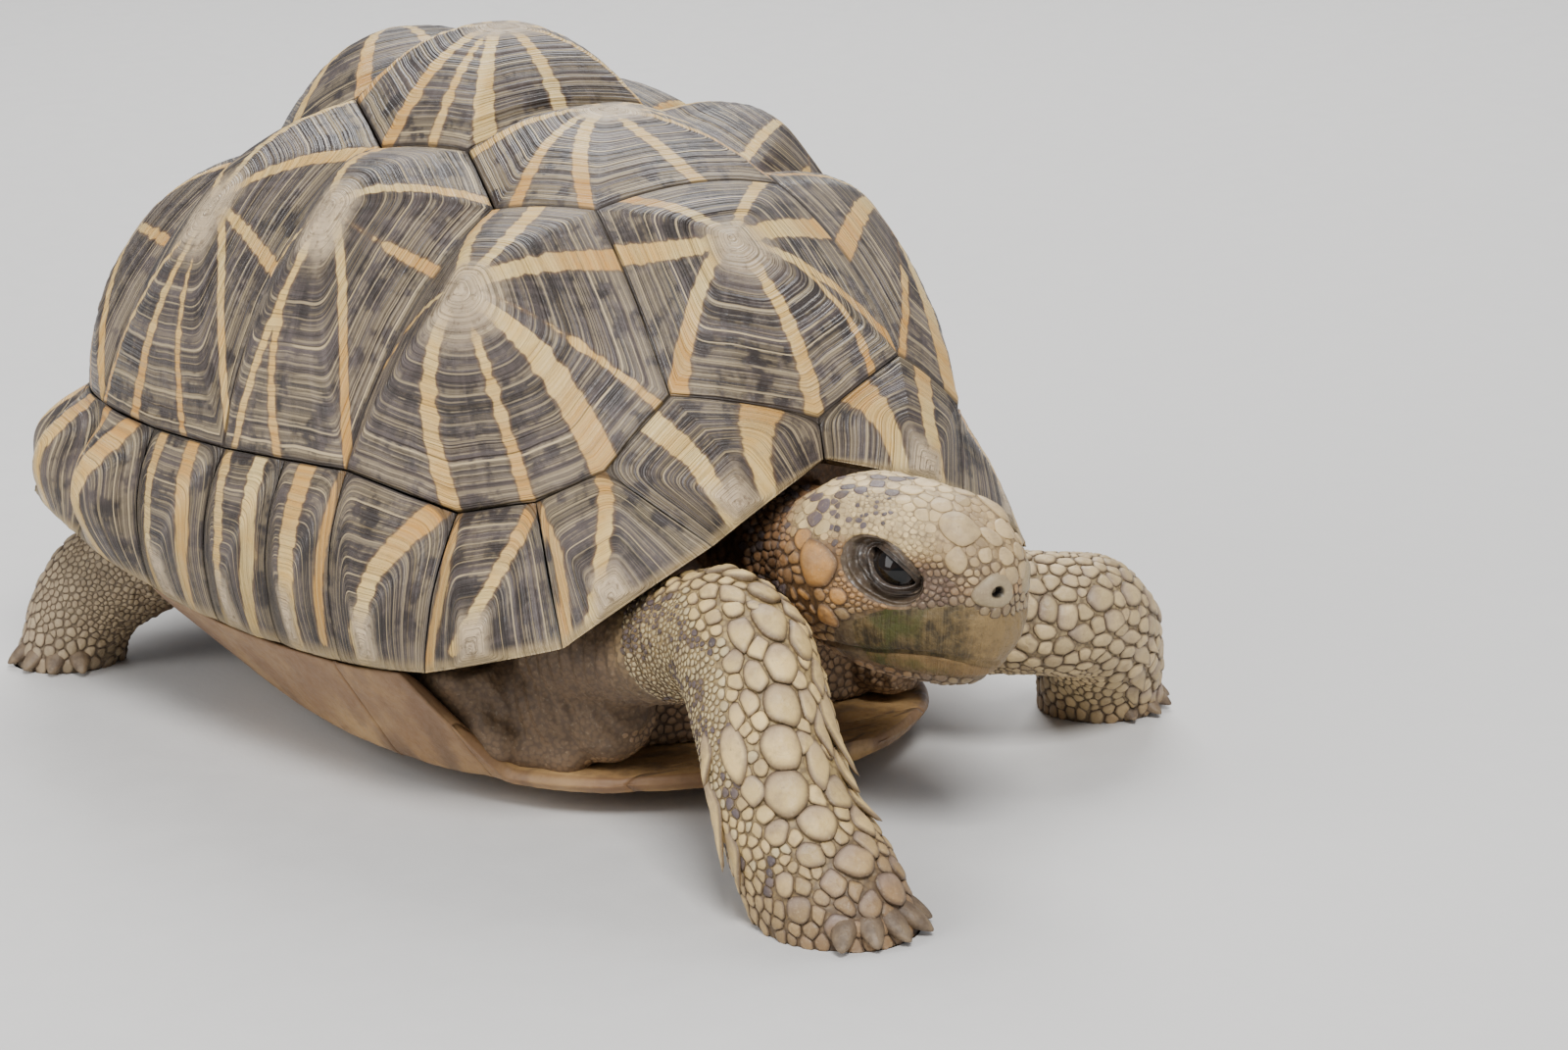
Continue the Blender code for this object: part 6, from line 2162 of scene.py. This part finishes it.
def nostril_piece(side, surface, material):
    """A low smooth scale with the nostril sunk in it."""
    middle = Vector(head_world((15.0, side * 2.2, 0.4)))
    target = Vector(head_world((NOSTRIL[0] + 0.6, side * (NOSTRIL[1] + 0.8), NOSTRIL[2])))
    hit = surface.ray_cast(middle, (target - middle).normalized())
    centre = np.array(hit[0])
    way = unit(np.array(target - middle))
    across = unit(np.cross(way, HEAD_AXES[2]))
    up = np.cross(across, way)
    count = 40
    turns = circle(count)
    rows = []
    for rho, rise in NOSTRIL_RINGS:
        reach = 4.2 * rho * (1 + 0.10 * np.cos(3 * turns + 1) * rho)
        ring = []
        for turn, r in zip(turns, reach):
            p = centre + across * (math.cos(turn) * r * 1.12) + up * (math.sin(turn) * r * 0.88)
            if rho > 0.35:
                near = surface.find_nearest(Vector(p))
                p = p + way * float(np.dot(np.array(near[0]) - p, way)) * (rho - 0.35) / 0.65
            ring.append(p + way * rise)
        rows.append(ring)
    points, quads, tris = tube_mesh(np.array(rows))
    mesh = make_mesh("nostril", place(points), quads, tris)
    turn_outwards(mesh)
    rho = np.concatenate([np.repeat([row[0] for row in NOSTRIL_RINGS], count), [0.0, 1.0]])
    pit = smoothstep(0.40, 0.27, rho)[:, None]
    tint = np.array([[0.33, 0.255, 0.145]]) * (1 - pit) + np.array([[0.006, 0.005, 0.004]]) * pit
    give_colour(mesh, "tint", tint)
    give(mesh, "rho", np.clip(rho, 0.3, 1.0) * 0.8)
    return make_piece("nostril_" + side_name(side), mesh, material, "skin")


def claw_piece(name, material):
    """The blunt horny claws of one foot."""
    heading, spread, number = CLAWS[name]
    sections = LIMBS[name][0]
    a, b = np.array(sections[-2][0], float), np.array(sections[-1][0], float)
    foot = a + (b - a) * 0.4
    reach = sections[-1][1] - 4.2
    stations, around = 15, 20
    angle = circle(around)
    points, quads, tris, level = [], [], [], []
    for i in range(number):
        rng = random.Random(name + str(i))
        turn = math.radians(heading + spread * (i / (number - 1) - 0.5))
        out = np.array([math.sin(turn), -math.cos(turn), 0.0])
        across = np.array([math.cos(turn), math.sin(turn), 0.0])
        length = CLAW_LENGTH * rng.uniform(0.84, 1.0)
        rings = []
        for k in range(stations):
            t = k / (stations - 1)
            middle = np.array([foot[0], foot[1], GROUND + 4.6]) + out * (reach + length * t)
            middle[2] += -3.2 * t ** 1.5
            wide = 2.75 * (1 - t ** 1.9) ** 0.72 + 0.30
            tall = 2.35 * (1 - t ** 1.7) ** 0.75 + 0.28
            rings.append(middle + np.outer(np.cos(angle) * wide, across)
                         + np.outer(np.sin(angle) * tall, (0, 0, 1)))
            level.append(np.full(around, t))
        pts, qs, ts = tube_mesh(np.array(rings))
        level.append([0.0, 1.0])
        base = sum(len(p) for p in points)
        points.append(pts)
        quads.append(qs + base)
        tris.append(ts + base)
    points = np.vstack(points)
    points[:, 2] = np.maximum(points[:, 2], GROUND + 0.05)
    mesh = make_mesh(name, place(points), np.vstack(quads), np.vstack(tris))
    turn_outwards(mesh)
    give(mesh, "down", np.concatenate(level))
    return make_piece("claws_" + name[4:], mesh, material, "beak")


# ---- scene --------------------------------------------------------------------------------------
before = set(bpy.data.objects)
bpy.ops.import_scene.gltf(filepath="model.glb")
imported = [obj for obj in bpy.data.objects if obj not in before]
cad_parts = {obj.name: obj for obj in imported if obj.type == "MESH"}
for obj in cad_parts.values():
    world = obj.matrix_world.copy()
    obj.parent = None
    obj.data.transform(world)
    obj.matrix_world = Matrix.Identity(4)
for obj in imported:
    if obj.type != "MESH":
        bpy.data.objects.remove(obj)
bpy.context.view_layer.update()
SHIFT = frame_shift()

horn = carapace_look()
belly = belly_look()
for name, corners, peak in plate_corners():
    plate_piece(name, corners, peak, horn)
for name, top, low, first, last in marginal_edges():
    marginal_piece(name, top, low, first, last, horn)
for name, (start, end) in PLASTRON_SEAMS.items():
    plastron_piece(name, start, end, belly)

limbs = [Limb(name, sections, axis) for name, (sections, axis) in LIMBS.items()]
neck = Limb("neck", NECK_SECTIONS, (1, 0, 0))
head_line = NECK_SECTIONS[:2]
for ahead, width, over, under in HEAD_SECTIONS:
    head_line.append((tuple(head_point(ahead, 0.0, (over - under) / 2)), width,
                      (over + under) / 2))
trunk_line = [((0, y, 15), 70, 35) for y in (-110, -60, 0, 60, 115)]
atlas = Atlas(limbs + [Limb("head", head_line, (1, 0, 0), 12, 0.95),
                       Limb("trunk", trunk_line, (1, 0, 0))])
surface, skin_points, flesh, head_only = skin_piece(limbs + [neck], atlas, skin_look())
wet = eye_look()
for side in (-1, 1):
    eye_piece(side, wet)

seeds = Seeds(surface)
explicit_seeds(seeds, atlas)
fill_seeds(seeds, flesh, skin_points, atlas)
scale_horn = scale_look()
scale_meshes(seeds, atlas, surface, scale_horn)
sheath = beak_look()
beak_piece("upper_beak", True, surface, sheath)
beak_piece("lower_beak", False, surface, sheath)
for side in (-1, 1):
    nostril_piece(side, head_only, scale_horn)
claw_horn = claw_look()
for name in CLAWS:
    claw_piece(name, claw_horn)


# ---- studio -------------------------------------------------------------------------------------
# The photo's view: how far the camera stands round, up and rolled (degrees), what it looks at in
# the animal's frame, from how far (m), and its lens (mm)
VIEW_ANGLES = (-36.25, 14.93, -0.955)
VIEW_TARGET = (-102.79, -235.41, 84.07)
VIEW_DISTANCE = 0.65
VIEW_LENS = 89.2
FLOOR_REACH = 6.0
SKY_COLOUR = (0.85, 0.9, 1.0, 1.0)
SKY_STRENGTH = 0.40
# Soft lights, in metres and watts: place, what they are turned to, size and power
LIGHTS = [((-0.7, -1.5, 2.1), (0, -0.05, 0.06), 0.9, 78),
          ((-1.4, 0.1, 0.8), (0, 0, 0.06), 0.9, 11), ((0.9, 1.1, 1.6), (0, 0, 0.08), 1.2, 42)]


def studio():
    """Camera, floor, sky and lights."""
    azimuth, elevation, roll = (math.radians(angle) for angle in VIEW_ANGLES)
    back = Vector((math.sin(azimuth) * math.cos(elevation),
                   -math.cos(azimuth) * math.cos(elevation), math.sin(elevation)))
    right = Vector((0, 0, 1)).cross(back).normalized()
    up = back.cross(right)
    turned = right * math.cos(roll) + up * math.sin(roll)
    upward = up * math.cos(roll) - right * math.sin(roll)
    lens = bpy.data.cameras.new("camera")
    lens.lens = VIEW_LENS
    lens.sensor_width = 36.0
    lens.clip_start = 0.01
    camera = bpy.data.objects.new("camera", lens)
    matrix = Matrix((turned, upward, back)).transposed().to_4x4()
    matrix.translation = Vector(place(VIEW_TARGET)) + back * VIEW_DISTANCE
    camera.matrix_world = matrix
    bpy.context.scene.collection.objects.link(camera)
    bpy.context.scene.camera = camera

    mesh = bpy.data.meshes.new("floor")
    corners = [(x * FLOOR_REACH, y * FLOOR_REACH, 0)
               for x, y in ((-1, -1), (1, -1), (1, 1), (-1, 1))]
    mesh.from_pydata(corners, [], [(0, 1, 2, 3)])
    floor = bpy.data.objects.new("floor", mesh)
    bpy.context.scene.collection.objects.link(floor)
    mesh.materials.append(floor_look())
    world = bpy.context.scene.world or bpy.data.worlds.new("world")
    bpy.context.scene.world = world
    world.use_nodes = True
    sky = world.node_tree.nodes["Background"]
    sky.inputs[0].default_value = SKY_COLOUR
    sky.inputs[1].default_value = SKY_STRENGTH
    for spot, aim, size, power in LIGHTS:
        light = bpy.data.lights.new("soft", "AREA")
        light.size = size
        light.energy = power
        lamp = bpy.data.objects.new("soft", light)
        lamp.location = spot
        lamp.rotation_euler = (Vector(aim) - Vector(spot)).to_track_quat("-Z", "Y").to_euler()
        bpy.context.scene.collection.objects.link(lamp)


studio()
